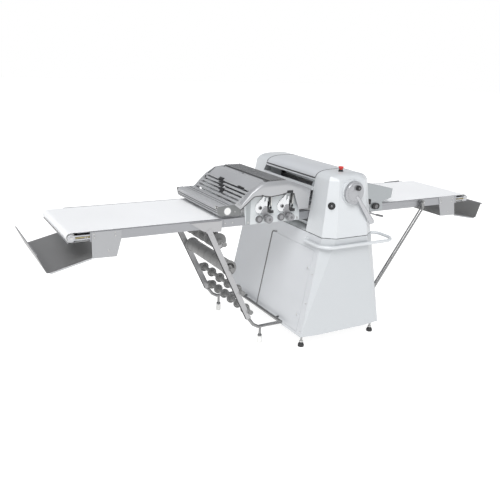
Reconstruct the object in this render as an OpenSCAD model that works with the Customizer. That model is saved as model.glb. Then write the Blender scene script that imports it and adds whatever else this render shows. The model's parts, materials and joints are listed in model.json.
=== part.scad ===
// Floor-standing dough sheeter with a cutting station and a magazine for its cutting rollers.
// Lengths are in millimetres. X runs along the belts to the right, Y to the back, Z up from the floor.
// Outlines are drawn from the middle of the roller head; at_head() moves them into the part's own
// frame, whose origin lies on the floor under the middle of the whole machine.

/* [Conveyor tables] */
// Width of the conveyor belts
belt_w = 640; // [620:10:640]
// Height of the belts' upper side above the floor
belt_z = 1005; // [1003:1:1006]
// Thickness of the belts
belt_t = 2; // [1.5:0.5:2.5]
// Radius of the rollers that the belts run round
belt_roller_r = 29; // [27:1:30]
// From the head's middle to the left table's end roller
left_end_x = 1974; // [1960:2:1990]
// From the head's middle to the right table's end roller
right_end_x = 1473; // [1465:2:1485]
// From the head's middle to the axis on which the right table folds up
fold_x = 430; // [426:1:434]
// Height of the table rails
rail_h = 60; // [56:1:62]

/* [Sheeting rollers] */
// Radius of the two sheeting rollers
sheet_roller_r = 42; // [40:1:42]
// Gap between the sheeting rollers as drawn
roller_gap = 20; // [16:1:24]
// Widest gap between the sheeting rollers
roller_gap_max = 45; // [40:1:45]

/* [Cabinet] */
// Half the cabinet's width at its foot
base_foot_hx = 375; // [370:1:380]
// Half the cabinet's width at its top
base_top_hx = 231; // [228:1:234]
// Height of the cabinet's lower edge
base_foot_z = 95; // [90:1:100]
// Height of the cabinet's upper edge
base_top_z = 846; // [845:1:847]
// Thickness of the cabinet's panels
panel_t = 4; // [3.5:0.5:5]

/* [Roller head] */
// Inner faces of the head's side frames, from the centreline
head_in_y = 345; // [345:1:346]
// Thickness of the head's side frames
head_plate_t = 18; // [16:1:18]
// Height of the head's lower edge
head_foot_z = 850; // [849:1:852]
// Height of the head's top
head_top_z = 1309; // [1306:1:1312]
// Wall thickness of the head's covers
shell_t = 4; // [3:0.5:4]
// Radius of the gap lever's disc
lever_disc_r = 84; // [80:1:86]
// Length of the gap lever's arm from its axis
lever_len = 305; // [295:1:310]

/* [Cutting station] */
// From the head's middle to the cutting station's two swing pins
cutter_pin_x = [-588, -404];
// Radius of the cutting rollers
cutter_r = 50; // [46:1:51]

/* [Roller magazine] */
// Radius of the magazine's bent tube
rack_tube_r = 12.5; // [12:0.5:13]
// Radius of the axles of the parked rollers
parked_axle_r = 8; // [7:0.5:8]

/* [Hidden] */
$fn = 48;
fit = 0.05;           // radial clearance of every running fit
skin = 0.5;           // gap between pieces that lie close but move apart
left_reach = 2194;    // outer edges of the two catch trays, from the head's middle
right_reach = 1703;
head_x = (left_reach - right_reach) / 2;

belt_r = belt_roller_r + belt_t;
roller_z = belt_z - belt_r;
rail_top = belt_z - belt_t;
rail_out_y = 341;
rail_in_y = 325;
rail_t = 3;
shaft_r = 10;
drive_x = 100;
nose_x = fold_x - 2 * belt_r - 3;

lower_z = belt_z - belt_t - sheet_roller_r;
upper_z = lower_z + 2 * sheet_roller_r + roller_gap;
block_hx = 28;
slot_z = [1000, upper_z + roller_gap_max - roller_gap + 106];

deck_t = 12;
deck_z = base_top_z - 2 - deck_t;
floor_t = 8;
chain_y = 506;
motor_z = 210;

lean = atan((base_foot_hx - base_top_hx) / (base_top_z - base_foot_z));
slope_len = (base_top_z - base_foot_z) / cos(lean);

arch_z = 1240;        // the head's arched top starts here
arch_hx = 176;
head_foot_hx = 229;
head_shoulder_z = 1258;

lever_x = -8;
lever_z = 1180;
lever_dir = -52;      // the arm's direction below the horizontal, in degrees

cutter_offset = [-56, 79];     // from a swing pin to its cutting roller's axis
station_y = 345;
hood_y = 383;
guard_pin = [-592, 1240];

strut_pin = [929, 985];
strut_foot = [412, 190];
strut_y = 364;
strut_r = 16;

rack_y = 346;
// Axes (x, z) of the parked rollers in the magazine
parked = [[-930, 826], [-858, 628], [-766, 436], [-690, 272]];

// ---------------------------------------------------------------- shared shapes

module at_head() {
    translate([head_x, 0, 0]) children();
}

// Children on the near side, and again on the far side
module both_sides() {
    children();
    mirror([0, 1, 0]) children();
}

// An outline of (x, z) points made solid from y0 to y1
module along_y(points, y0, y1) {
    translate([0, y1, 0]) rotate([90, 0, 0]) linear_extrude(y1 - y0) polygon(points);
}

module rod_y(x, z, r, y0, y1) {
    translate([x, y1, z]) rotate([90, 0, 0]) cylinder(r = r, h = y1 - y0);
}

module rod_between(a, b, r) {
    run = b - a;
    translate(a) rotate([0, acos(run[2] / norm(run)), atan2(run[1], run[0])])
        cylinder(r = r, h = norm(run));
}

// A bent tube: straight stretches with round elbows
module bent_tube(points, r) {
    for (i = [0 : len(points) - 2]) rod_between(points[i], points[i + 1], r);
    for (i = [1 : len(points) - 2]) translate(points[i]) sphere(r = r);
}

module slab(points, z) {
    translate([0, 0, z]) linear_extrude(0.1) polygon(points);
}

// A flat box given by its lowest and highest corners
module block(low, high) {
    translate(low) cube(high - low);
}

// An open strip of sheet metal: an (x, z) line thickened by t in the direction of shift
function strip(points, shift) = concat(points, [for (i = [len(points) - 1 : -1 : 0]) points[i] + shift]);

// Half of a rounded arch, as (x, z) points from its right foot over its crown to its left foot
function arch(hx, z0, rise, steps = 24) = [
    for (i = [0 : steps])
        let (a = 180 * i / steps, c = cos(a))
        [hx * sign(c) * pow(abs(c), 0.7), z0 + rise * pow(sin(a), 0.7)]];

// ---------------------------------------------------------------- cabinet

module base_frame() {
    color("dimgray") at_head() {
        block([-366, -560, base_foot_z], [366, 560, base_foot_z + floor_t]);
        for (x = [-170, 170], y = [-480, 480])
            block([x - 25, y - 25, base_foot_z + floor_t - 1], [x + 25, y + 25, deck_z + 1]);
        difference() {
            block([-220, -540, deck_z], [220, 540, deck_z + deck_t]);
            block([-75, chain_y - 20, deck_z - 1], [75, chain_y + 20, deck_z + deck_t + 1]);
        }
    }
}

// The left side's own frame: +X into the cabinet, +Z up along the leaning panel
module on_left_side() {
    translate([-base_foot_hx, 0, base_foot_z]) rotate([0, lean, 0]) children();
}

module side_sheet(points, x0, x1) {
    translate([x0, 0, 0]) rotate([90, 0, 90]) linear_extrude(x1 - x0) polygon(points);
}

side_outline = [[-574, 0], [574, 0], [549, slope_len], [-549, slope_len]];
service_outline = [[-512, 22], [78, 22], [80, 660], [-500, 660]];

module left_side_panel() {
    color("silver") at_head() on_left_side() difference() {
        side_sheet(side_outline, 0, panel_t);
        side_sheet(service_outline, -1, 2.5);
    }
}

module left_service_cover() {
    inset = [[3, 3], [-3, 3], [-3, -3], [3, -3]];
    notch = [[-262, 0], [-238, 0], [-238, 54], [-262, 54]];   // for the magazine frame's pin
    color("gainsboro") at_head() on_left_side() difference() {
        side_sheet(service_outline + inset, 0.2, 2.5);
        side_sheet(notch, -1, 4);
    }
}

module right_side_panel() {
    rest_z = strut_foot[1] - strut_r - 5.6;
    color("silver") at_head() mirror([1, 0, 0]) {
        on_left_side() side_sheet(side_outline, 0, panel_t);
        for (y = [-220, 180])
            block([-strut_foot[0] - 26, y, rest_z], [-358, y + 40, rest_z + 5]);
    }
}

// Plan of a cover: a front with a facet at each corner
function plan(back_hx, back_y, front_hx, front_y, in_y) = [
    [-back_hx, in_y], [-back_hx, back_y], [-front_hx, front_y], [front_hx, front_y],
    [back_hx, back_y], [back_hx, in_y]];

module base_cover() {
    w = panel_t;
    difference() {
        hull() {
            slab(plan(base_foot_hx, -574.6, 220, -592, -574.5), base_foot_z);
            slab(plan(base_top_hx, -549.6, 143, -608, -549.5), base_top_z - 0.1);
        }
        hull() {
            slab(plan(base_foot_hx - 2 * w, -574 + w / 2, 218, -592 + w, -530), base_foot_z - 2);
            slab(plan(base_top_hx - 2 * w, -549 + w / 2, 141, -608 + w, -505), base_top_z + 2);
        }
    }
}

module front_cover() {
    color("whitesmoke") at_head() base_cover();
}

gland_at = [-60, 300];
gland_bore_r = 7;

module back_cover() {
    color("whitesmoke") at_head() mirror([0, 1, 0]) difference() {
        union() {
            base_cover();
            rod_y(gland_at[0], gland_at[1], 14, -608, -580);
        }
        rod_y(gland_at[0], gland_at[1], gland_bore_r, -620, -560);
    }
}

module levelling_feet() {
    color("#333333") at_head() for (x = [-335, 335], y = [-535, 535]) translate([x, y, 0]) {
        cylinder(r = 24, h = 22);
        translate([0, 0, 21]) cylinder(r1 = 20, r2 = 13, h = 12);
        translate([0, 0, 32]) cylinder(r = 9, h = base_foot_z - 32);
    }
}

rail_z = 790;
rail_r = 12.5;
rail_front_y = -628;

// A quarter bend of the hand rail about a point, from the direction given in degrees
module rail_bend(at, radius, start) {
    translate([at[0], at[1], rail_z]) rotate([0, 0, start]) rotate_extrude(angle = 90)
        translate([radius, 0]) circle(r = rail_r);
}

module hand_rail() {
    left_x = -262;
    left_bend = 110;
    right_x = 417;
    right_bend = 96;
    inner_bend = 58;
    inner_y = -400;
    bend_y = rail_front_y + 170;
    color("whitesmoke") at_head() {
        rod_between([left_x + 20, inner_y + 20, rail_z], [left_x + 24, inner_y + 20, rail_z], rail_r);
        rail_bend([left_x + 20, inner_y], 20, 90);
        rod_between([left_x, inner_y, rail_z], [left_x, rail_front_y + left_bend, rail_z], rail_r);
        rail_bend([left_x + left_bend, rail_front_y + left_bend], left_bend, 180);
        rod_between([left_x + left_bend, rail_front_y, rail_z],
                    [right_x - right_bend, rail_front_y, rail_z], rail_r);
        rail_bend([right_x - right_bend, rail_front_y + right_bend], right_bend, 270);
        rod_between([right_x, rail_front_y + right_bend, rail_z], [right_x, bend_y, rail_z], rail_r);
        rail_bend([right_x - inner_bend, bend_y], inner_bend, 0);
        rod_between([right_x - inner_bend, bend_y + inner_bend, rail_z],
                    [238, bend_y + inner_bend, rail_z], rail_r);
    }
}

module gear_motor() {
    top = base_foot_z + floor_t;
    color("slategray") at_head() {
        rod_y(0, motor_z, 78, 60, 330);
        rod_y(0, motor_z, 84, 40, 62);
        block([-80, 325, top], [80, 470, motor_z + 90]);
        for (x = [-70, 40]) block([x, 80, top], [x + 30, 310, motor_z - 40]);
    }
}

module sprocket(z, y0, y1) {
    teeth = 18;
    translate([0, y1, z]) rotate([90, 0, 0]) linear_extrude(y1 - y0) difference() {
        circle(r = 45);
        for (i = [0 : teeth - 1]) rotate(360 / teeth * i) translate([45.5, 0]) circle(r = 3.6);
    }
}

module drive_sprocket() {
    color("darkgray") at_head() {
        sprocket(motor_z, chain_y - 5, chain_y + 5);
        rod_y(0, motor_z, 14, 471, chain_y + 8);
    }
}

module stadium(z_low, z_high, r) {
    translate([0, z_low]) circle(r = r);
    translate([0, z_high]) circle(r = r);
    translate([-r, z_low]) square([2 * r, z_high - z_low]);
}

module drive_chain() {
    color("gray") at_head() translate([0, chain_y + 6, 0]) rotate([90, 0, 0]) linear_extrude(12) difference() {
        stadium(motor_z, lower_z, 54);
        stadium(motor_z, lower_z, 46);
    }
}

module control_box() {
    color("lightgray") at_head() {
        block([-130, -470, 340], [130, -330, 640]);
        block([-140, -478, 332], [140, -469, 648]);
        for (x = [-120, 90]) block([x, -470, base_foot_z + floor_t], [x + 30, -440, 341]);
    }
}

// ---------------------------------------------------------------- roller head

// Outline of the head's cross-section, drawn in by inset
function head_outline(inset, foot_z) = concat(
    [[-(head_foot_hx - inset), foot_z], [head_foot_hx - inset, foot_z],
     [arch_hx - inset, arch_z]], arch(arch_hx - inset, arch_z, head_top_z - arch_z - inset));

module head_frame() {
    inset = shell_t + 2;
    y0 = -head_in_y - head_plate_t;
    color("silver") at_head() {
        both_sides() difference() {
            along_y(head_outline(inset + 2, base_top_z - 2), y0, -head_in_y - 1);
            block([-block_hx - fit, y0 - 1, slot_z[0]], [block_hx + fit, -head_in_y, slot_z[1]]);
            rod_y(0, lower_z, 20 + fit, y0 - 1, -head_in_y);
            rod_y(lever_x, lever_z, 19, y0 - 1, -head_in_y);
        }
        for (x = [-150, 140]) block([x, -head_in_y - 2, 870], [x + 10, head_in_y + 2, 890]);
        along_y([[-199, 1160], [-192, 1158], [-186, 1186], [-193, 1188]], -head_in_y - 2, head_in_y + 2);
    }
}

// One head cover, open towards the rollers
module housing_solid(inset, in_y, foot_z) {
    i = inset;
    hull() {
        slab(plan(head_foot_hx - i, -548 + i / 2, 143 - i / 2, -610 + i, in_y), foot_z);
        slab(plan(arch_hx - 1 - i, -511 + i / 2, 116 - i / 2, -558 + i, in_y), head_shoulder_z);
        along_y(arch(arch_hx - i, arch_z, head_top_z - arch_z - i), -500 + i, in_y);
        along_y(arch(135 - i, arch_z, 50 - i), -542 + i, -500);
    }
}

module housing() {
    difference() {
        union() {
            housing_solid(0, -head_in_y, head_foot_z);
            children();
        }
        housing_solid(shell_t, -head_in_y + 2, head_foot_z - 2);
    }
}

lever_y = -588;
facet_foot = [-head_foot_hx, -548, head_foot_z];
facet_normal = cross([86, -62, 0], [54, 37, 408]) / norm(cross([86, -62, 0], [54, 37, 408]));
selector_seat = 2.6;   // the selector's round seat stands this proud of the facet's lower triangle
selector_at = facet_foot + 0.39 * [86, -62, 0] + 0.571 * [54, 37, 408];

module along_facet(offset) {
    translate(selector_at + offset * facet_normal)
        rotate([0, acos(facet_normal[2]), atan2(facet_normal[1], facet_normal[0])]) children();
}

module front_housing() {
    color("whitesmoke") at_head() difference() {
        housing() {
            rod_y(lever_x, lever_z, 66, lever_y + 1, -540);
            along_facet(-4) cylinder(r = 27, h = 4 + selector_seat);
        }
        rod_y(lever_x, lever_z, 15 + fit, -700, -500);
    }
}

module rear_housing() {
    color("whitesmoke") at_head() mirror([0, 1, 0]) housing();
}

module head_roof() {
    lip = 1232;
    outer = concat([[arch_hx, lip], [arch_hx, arch_z]], arch(arch_hx, arch_z, head_top_z - arch_z),
                   [[-arch_hx, arch_z], [-arch_hx, lip]]);
    inner = concat([[arch_hx - shell_t, lip - 1], [arch_hx - shell_t, arch_z]],
                   arch(arch_hx - shell_t, arch_z, head_top_z - arch_z - shell_t),
                   [[-arch_hx + shell_t, arch_z], [-arch_hx + shell_t, lip - 1]]);
    half = head_in_y - skin;
    color("whitesmoke") at_head() {
        difference() {
            along_y(outer, -half, half);
            along_y(inner, -half - 1, half + 1);
        }
        for (x = [-arch_hx + 8, arch_hx - 8]) rod_y(x, lip + 7, 7, -half, half);
    }
}

module lower_roller() {
    color("lightsteelblue") at_head() {
        rod_y(0, lower_z, sheet_roller_r, -belt_w / 2, belt_w / 2);
        rod_y(0, lower_z, 20, -head_in_y - head_plate_t, chain_y + 10);
        sprocket(lower_z, chain_y - 5, chain_y + 5);
    }
}

module upper_roller() {
    color("lightsteelblue") at_head() {
        rod_y(0, upper_z, sheet_roller_r, -belt_w / 2, belt_w / 2);
        rod_y(0, upper_z, 18, -head_in_y - head_plate_t + 2, head_in_y + head_plate_t - 2);
    }
}

module upper_carriage() {
    bar_z = upper_z + 78;
    reach = head_in_y + head_plate_t - 1;
    color("gray") at_head() {
        both_sides() difference() {
            block([-block_hx, -reach, upper_z - 35], [block_hx, -head_in_y - 1, bar_z + 14]);
            rod_y(0, upper_z, 18 + fit, -reach - 1, -head_in_y);
        }
        block([-20, -head_in_y - 2, bar_z - 6], [20, head_in_y + 2, bar_z + 14]);
        for (side = [-1, 1])
            along_y([[side * 18, bar_z - 2], [side * 20, bar_z + 2], [side * 49, upper_z + 12],
                     [side * 46, upper_z + 10]], -belt_w / 2, belt_w / 2);
    }
}

module lower_scrapers() {
    half = head_in_y - 2;
    color("darkgray") at_head() for (side = [-1, 1]) {
        along_y([[side * 84, 893], [side * 72, 893], [side * 72, 913], [side * 84, 913]], -half, half);
        along_y([[side * 74, 911], [side * 71, 908], [side * 35, 929], [side * 37, 932]],
                -belt_w / 2, belt_w / 2);
    }
}

module gap_lever() {
    width = 34;
    dir = [cos(lever_dir), 0, sin(lever_dir)];
    tip = [lever_x, 0, lever_z] + dir * (lever_len - 26);
    root = [lever_x, 0, lever_z] + dir * 40;
    color("silver") at_head() {
        rod_y(lever_x, lever_z, lever_disc_r, lever_y - 22, lever_y);
        rod_y(lever_x, lever_z, lever_disc_r - 12, lever_y - 26, lever_y - 21);
        rod_y(lever_x, lever_z, 15, lever_y - 1, -370);
        hull() {
            rod_y(root[0], root[2], 16, lever_y - 38, lever_y - 24);
            rod_y(tip[0], tip[2], 26, lever_y - 42, lever_y - 20);
        }
        rod_y(lever_x + 18, lever_z + 36, 6, lever_y - 34, lever_y - 25);
    }
}

module stop_knob() {
    color("#222222") at_head() difference() {
        rod_y(lever_x + 18, lever_z + 36, 20, lever_y - 46, lever_y - 26 - skin);
        rod_y(lever_x + 18, lever_z + 36, 6 + fit, lever_y - 35, lever_y - 20);
    }
}

module selector_knob() {
    color("#222222") at_head() along_facet(selector_seat + fit) {
        cylinder(r = 22, h = 10);
        translate([0, 0, 9]) cylinder(r = 17, h = 12);
    }
}

estop_at = [-30, -450];

module estop_base() {
    color("#222222") at_head() translate([estop_at[0], estop_at[1], head_top_z]) difference() {
        cylinder(r = 17, h = 14);
        translate([0, 0, 3]) cylinder(r = 8 + fit, h = 20);
    }
}

module estop_button() {
    color("red") at_head() translate([estop_at[0], estop_at[1], head_top_z]) {
        translate([0, 0, 8]) cylinder(r = 8, h = 12);
        translate([0, 0, 19]) cylinder(r = 20, h = 15);
        translate([0, 0, 33.9]) cylinder(r1 = 20, r2 = 15, h = 5);
    }
}

// ---------------------------------------------------------------- tables

// A C-shaped rail, open to the inside, from x0 to x1 on the near side
module rail(x0, x1) {
    low = rail_top - rail_h;
    difference() {
        block([x0, -rail_out_y, low], [x1, -rail_in_y, rail_top]);
        block([x0 - 1, -rail_out_y + rail_t, low + rail_t], [x1 + 1, 0, rail_top - rail_t]);
    }
}

module bed(x0, x1, half) {
    block([x0, -half, rail_top - 3.5], [x1, half, rail_top - skin]);
}

module loop_belt(x0, x1) {
    translate([0, belt_w / 2, 0]) rotate([90, 0, 0]) linear_extrude(belt_w) difference() {
        belt_outline(x0, x1, belt_r);
        belt_outline(x0, x1, belt_roller_r);
    }
}

module belt_outline(x0, x1, r) {
    translate([x0, roller_z]) circle(r = r);
    translate([x1, roller_z]) circle(r = r);
    translate([x0, roller_z - r]) square([x1 - x0, 2 * r]);
}

module belt_roller(x, reach) {
    rod_y(x, roller_z, belt_roller_r - fit, -belt_w / 2, belt_w / 2);
    rod_y(x, roller_z, shaft_r, -reach, reach);
}

// Bearing plates that slide in the rails' ends and stretch the belt
module tensioners(end_x, rail_x) {
    side = sign(end_x);
    inner = rail_x - side * 30;
    both_sides() difference() {
        union() {
            rod_y(end_x, roller_z, 24, -rail_out_y + rail_t, -rail_in_y - 5);
            block([min(inner, end_x), -rail_out_y + rail_t, roller_z - 14],
                  [max(inner, end_x), -rail_in_y - 5, roller_z + 14]);
        }
        rod_y(end_x, roller_z, shaft_r + fit, -rail_out_y, -rail_in_y);
        block([min(rail_x + side * 8, end_x - side * 34), -rail_out_y, roller_z - 6],
              [max(rail_x + side * 8, end_x - side * 34), -rail_in_y, roller_z + 6]);
    }
}

gusset_out_y = rail_out_y + 3;

// A catch tray: bent sheet held by a gusset plate on each rail
module tray(gusset, sheet_line) {
    both_sides() along_y(gusset, -gusset_out_y, -rail_out_y);
    along_y(strip(sheet_line, [0, 2.5]), -gusset_out_y, gusset_out_y);
}

left_rail_x = -1860;

module left_table_frame() {
    color("silver") at_head() {
        both_sides() {
            rail(left_rail_x, -74);
            block([-931, -rail_out_y - 3, 945], [-846, -rail_out_y, 1000]);
        }
        bed(-1935, -140, rail_in_y + 1);
    }
}

module left_belt() {
    color("white") at_head() loop_belt(-left_end_x, -drive_x);
}

module left_end_roller() {
    color("gainsboro") at_head() belt_roller(-left_end_x, rail_out_y - rail_t);
}

module left_drive_roller() {
    color("gainsboro") at_head() belt_roller(-drive_x, rail_out_y - rail_t);
}

module left_tensioners() {
    color("darkgray") at_head() tensioners(-left_end_x, left_rail_x);
}

module left_tray() {
    color("silver") at_head() tray(
        [[-1852, 1002], [-1660, 1001], [-1662, 941], [-1694, 830], [-1852, 834]],
        [[-1694, 830], [-1852, 836], [-2118, 771], [-2134, 773], [-2190, 896]]);
}

right_rail_x = 1352;
cheek_in_y = 342;
cheek_out_y = 345;
guard_hinge = [214, 1186];
guard_rod_r = 7;
latch_pin = [376, 940];
latch_pin_r = 5;

module right_cheeks() {
    outline = [[70, 951], [70, 996], [150, 1006], [196, 1216], [598, 1120], [590, 1046], [502, 1019],
               [511, 951]];
    color("silver") at_head() {
        both_sides() {
            difference() {
                along_y(outline, -cheek_out_y + skin, -cheek_in_y);
                rod_y(fold_x, roller_z, shaft_r + fit, -400, -300);
                rod_y(drive_x, roller_z, shaft_r + fit, -400, -300);
                rod_y(guard_hinge[0], guard_hinge[1], guard_rod_r + fit, -400, -300);
            }
            block([345, -356, 1008], [371, -cheek_out_y + 1, 1044]);
        }
        along_y([[352, 953], [400, 953], [388, 926], [364, 926]], -cheek_out_y + skin, -cheek_in_y);
        rod_y(latch_pin[0], latch_pin[1], latch_pin_r, -359, -cheek_in_y);
        bed(140, nose_x, cheek_in_y + 1);
        rod_y(nose_x, roller_z, belt_roller_r - 1, -belt_w / 2, belt_w / 2);
        rod_y(nose_x, roller_z, 14, -cheek_in_y - 1, cheek_in_y + 1);
    }
}

module right_inner_belt() {
    color("white") at_head() loop_belt(drive_x, nose_x);
}

module right_table_frame() {
    color("silver") at_head() {
        both_sides() difference() {
            rail(fold_x - 24, right_rail_x);
            rod_y(fold_x, roller_z, shaft_r + fit, -400, -300);
        }
        bed(fold_x + 36, right_end_x - 36, rail_in_y + 1);
        both_sides() rod_y(strut_pin[0], strut_pin[1], 8, -strut_y - 12, -rail_out_y + 1);
    }
}

module right_belt() {
    color("white") at_head() loop_belt(fold_x, right_end_x);
}

module right_end_roller() {
    color("gainsboro") at_head() belt_roller(right_end_x, rail_out_y - rail_t);
}

module right_pivot_roller() {
    color("gainsboro") at_head() belt_roller(fold_x, cheek_out_y + 4);
}

module right_drive_roller() {
    color("gainsboro") at_head() belt_roller(drive_x, cheek_out_y - skin);
}

module right_tensioners() {
    color("darkgray") at_head() tensioners(right_end_x, right_rail_x);
}

module right_tray() {
    color("silver") at_head() tray(
        [[1134, 1007], [1314, 1013], [1353, 839], [1184, 843]],
        [[1184, 841], [1353, 836], [1612, 786], [1634, 790], [1674, 906], [1700, 911]]);
}

// The prop of the right table: a leg on each rail and a cross tube that rests on the cabinet's brackets
module right_strut() {
    leg_r = 16;
    knee = [934, 940];
    color("darkgray") at_head() {
        both_sides() {
            difference() {
                rod_y(strut_pin[0], strut_pin[1], 20, -strut_y - 7, -strut_y + 7);
                rod_y(strut_pin[0], strut_pin[1], 8 + fit, -400, -300);
            }
            rod_between([932, -strut_y, 968], [knee[0], -strut_y, knee[1]], leg_r);
            rod_y(knee[0], knee[1], leg_r + 1, -strut_y - leg_r - 1, -strut_y + leg_r + 1);
            rod_between([knee[0], -strut_y, knee[1]], [strut_foot[0], -strut_y, strut_foot[1]], leg_r);
        }
        rod_y(strut_foot[0], strut_foot[1], strut_r, -strut_y - strut_r, strut_y + strut_r);
    }
}

module table_latch() {
    color("#444444") at_head() difference() {
        union() {
            rod_y(latch_pin[0], latch_pin[1], 11, -360, -cheek_out_y - skin);
            rod_between([latch_pin[0] + 8, -354, latch_pin[1] - 2], [512, -354, 900], 5);
            translate([512, -354, 900]) sphere(r = 8);
        }
        rod_y(latch_pin[0], latch_pin[1], latch_pin_r + fit, -359.5, -300);
    }
}

// The guard over the right belt's inner end: cross bars between two arms, lifting about the upper bar
module right_guard() {
    half = cheek_in_y - 4;
    tip = [392, 1120];
    color("silver") at_head() {
        rod_y(guard_hinge[0], guard_hinge[1], guard_rod_r, -cheek_out_y, cheek_out_y);
        rod_y(tip[0], tip[1], 9, -half, half);
        for (share = [0.25, 0.5, 0.75])
            rod_y(guard_hinge[0] + share * (tip[0] - guard_hinge[0]),
                  guard_hinge[1] + share * (tip[1] - guard_hinge[1]), 5, -half + 8, half - 8);
        for (y = [-half + 8, half - 8])
            rod_between([guard_hinge[0], y, guard_hinge[1]], [tip[0], y, tip[1]], 6);
    }
}

// ---------------------------------------------------------------- cutting station

module station_frames() {
    outline = [[-754, 944], [-300, 944], [-300, 1036], [-246, 1036], [-226, 1172], [-318, 1209],
               [-437, 1246], [-594, 1244], [-596, 1176], [-700, 1176], [-776, 1096]];
    color("lightsteelblue") at_head() both_sides() {
        difference() {
            along_y(outline, -station_y, -rail_out_y);
            for (x = cutter_pin_x)
                block([x - 78, -400, roller_z + 52], [x + 22, -300, roller_z + 130]);
        }
        for (x = cutter_pin_x) {
            rod_y(x, roller_z + 9, 8, -362, -rail_out_y - 1);
            rod_y(x - 67, roller_z + 9, 25, -station_y - 12, -station_y);
        }
    }
}

// Side hoods: the outline flush with the top sheets, the outer face's outline, and the lower edge
hood_top = [[-815, 1067], [-805, 1118], [-723, 1196], [-654, 1240], [-599, 1246], [-435, 1250],
            [-318, 1212], [-222, 1176], [-226, 1150], [-246, 1034]];
hood_face = [[-822, 1067], [-822, 1092], [-742, 1166], [-662, 1211], [-600, 1218], [-438, 1221],
             [-330, 1183], [-234, 1147], [-239, 1110], [-250, 1034]];
hood_belly = [[-200, 1035], [-335, 1035], [-379, 1152], [-428, 1172], [-471, 1157], [-578, 1146],
              [-641, 1157], [-715, 1155], [-822, 1067]];
hood_mid = [-560, 1034];

function towards(points, centre, share) = [for (p = points) p + (centre - p) * share];

// A side hood as a full solid, drawn in all round
module hood_solid(share, t) {
    hull() {
        along_y(towards(hood_top, hood_mid, share), -station_y - 2, -station_y + t / 3);
        along_y(towards(hood_face, hood_mid, share), -hood_y + t, -hood_y + t + 2);
    }
}

module station_hoods() {
    color("silver") at_head() both_sides() difference() {
        hood_solid(0, 0);
        hood_solid(0.02, 3);
        along_y(concat(hood_belly, [[-900, 1067], [-900, 900], [-200, 900]]), -hood_y - 1, -station_y + 2);
    }
}

module station_top() {
    crown = [[-578, 1246], [-440, 1249], [-318, 1206], [-204, 1166]];
    half = rail_out_y - skin;
    ribs = 6;
    color("silver") at_head() {
        along_y(strip(crown, [0, -3]), -half, half);
        for (i = [0 : ribs - 1]) block([-566 + 24 * i, -half, 1245], [-554 + 24 * i, half, 1253]);
        for (y = [-310, 0, 310]) {
            along_y([[guard_pin[0] - 4, guard_pin[1] - 7], [-577, 1240], [-577, 1246],
                     [guard_pin[0] - 4, guard_pin[1] + 7]], y - 10, y + 10);
        }
        rod_y(guard_pin[0], guard_pin[1], 4, -315, 315);
    }
}

cheek_line = [[-988, 1094], [-866, 1100], [-846, 1098], [-724, 1196], [-706, 1186], [-722, 1168],
              [-790, 1108], [-794, 1060], [-796, 1018], [-955, 1023], [-978, 1044]];

// Cross-section of the guard's front beam, and a point in its middle
beam_line = [[-986, 1094], [-956, 1099], [-858, 1092], [-858, 1046], [-896, 1032], [-972, 1034]];
beam_mid = [-924, 1067];

module guard_panel() {
    half = rail_out_y - 1;
    slats = 5;
    low = [-846, 1086];
    high = [-722, 1184];
    run = (high - low) / slats;
    color("silver") at_head() {
        both_sides() along_y(cheek_line, -half, -half + 3);
        difference() {
            along_y(beam_line, -half, half);
            along_y(towards(beam_line, beam_mid, 0.1), -half + 3, half - 3);
        }
        for (i = [0 : slats - 1]) {
            at = low + run * i;
            along_y(strip([at, at + run * 0.42 + [0, 3]], [0, -3]), -half, half);
        }
        along_y(strip([[-722, 1184], [-650, 1242], [-604, 1243]], [0, -3]), -half, half);
        for (y = [-296, 14]) difference() {
            union() {
                rod_y(guard_pin[0], guard_pin[1], 8, y, y + 282);
                block([-610, y, 1239], [guard_pin[0], y + 282, 1243]);
            }
            rod_y(guard_pin[0], guard_pin[1], 4 + fit, y - 1, y + 283);
        }
    }
}

// The two swing plates that carry one cutting roller between them
module cutter_arm(pin_x) {
    pin = [pin_x, roller_z + 9];
    axle = pin + cutter_offset;
    out = -357;
    color("gainsboro") at_head() both_sides() difference() {
        union() {
            rod_y(axle[0], axle[1], 40, out, -station_y - 1);
            rod_y(pin[0], pin[1], 22, out, -station_y - 1);
            along_y([axle + [-28, -26], pin + [-20, -10], pin + [18, 12], axle + [38, 10]],
                    out, -station_y - 1);
            along_y([axle + [-30, 28], axle + [40, -4], axle + [60, 10], axle + [60, 66], axle + [46, 70],
                     axle + [34, 80], axle + [18, 80]], out, -station_y - 1);
        }
        rod_y(axle[0], axle[1], 10 + fit, -400, -300);
        rod_y(pin[0], pin[1], 8 + fit, -400, -300);
        along_y([axle + [32, 44], axle + [40, 44], axle + [46, 90], axle + [36, 90]], -400, -300);
    }
}

module cutting_roller(pin_x, discs) {
    axle = [pin_x, roller_z + 9] + cutter_offset;
    pitch = (belt_w - 60) / (discs - 1);
    color("silver") at_head() {
        rod_y(axle[0], axle[1], 22, -belt_w / 2, belt_w / 2);
        rod_y(axle[0], axle[1], 10, -360, 360);
        for (i = [0 : discs - 1]) {
            y = -belt_w / 2 + 30 + pitch * i;
            rod_y(axle[0], axle[1], cutter_r, y - 2, y + 2);
        }
    }
}

module pressure_knob(pin_x) {
    color("darkgray") at_head() difference() {
        union() {
            rod_y(pin_x, roller_z + 9, 28, -403, -360);
            rod_y(pin_x, roller_z + 9, 16, -361, -357.5);
        }
        rod_y(pin_x, roller_z + 9, 8 + fit, -363, -350);
    }
}

module cutter_arm_1() {
    cutter_arm(cutter_pin_x[0]);
}

module cutter_arm_2() {
    cutter_arm(cutter_pin_x[1]);
}

module cutting_roller_1() {
    cutting_roller(cutter_pin_x[0], 5);
}

module cutting_roller_2() {
    cutting_roller(cutter_pin_x[1], 9);
}

module pressure_knob_1() {
    pressure_knob(cutter_pin_x[0]);
}

module pressure_knob_2() {
    pressure_knob(cutter_pin_x[1]);
}

// ---------------------------------------------------------------- roller magazine

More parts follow.
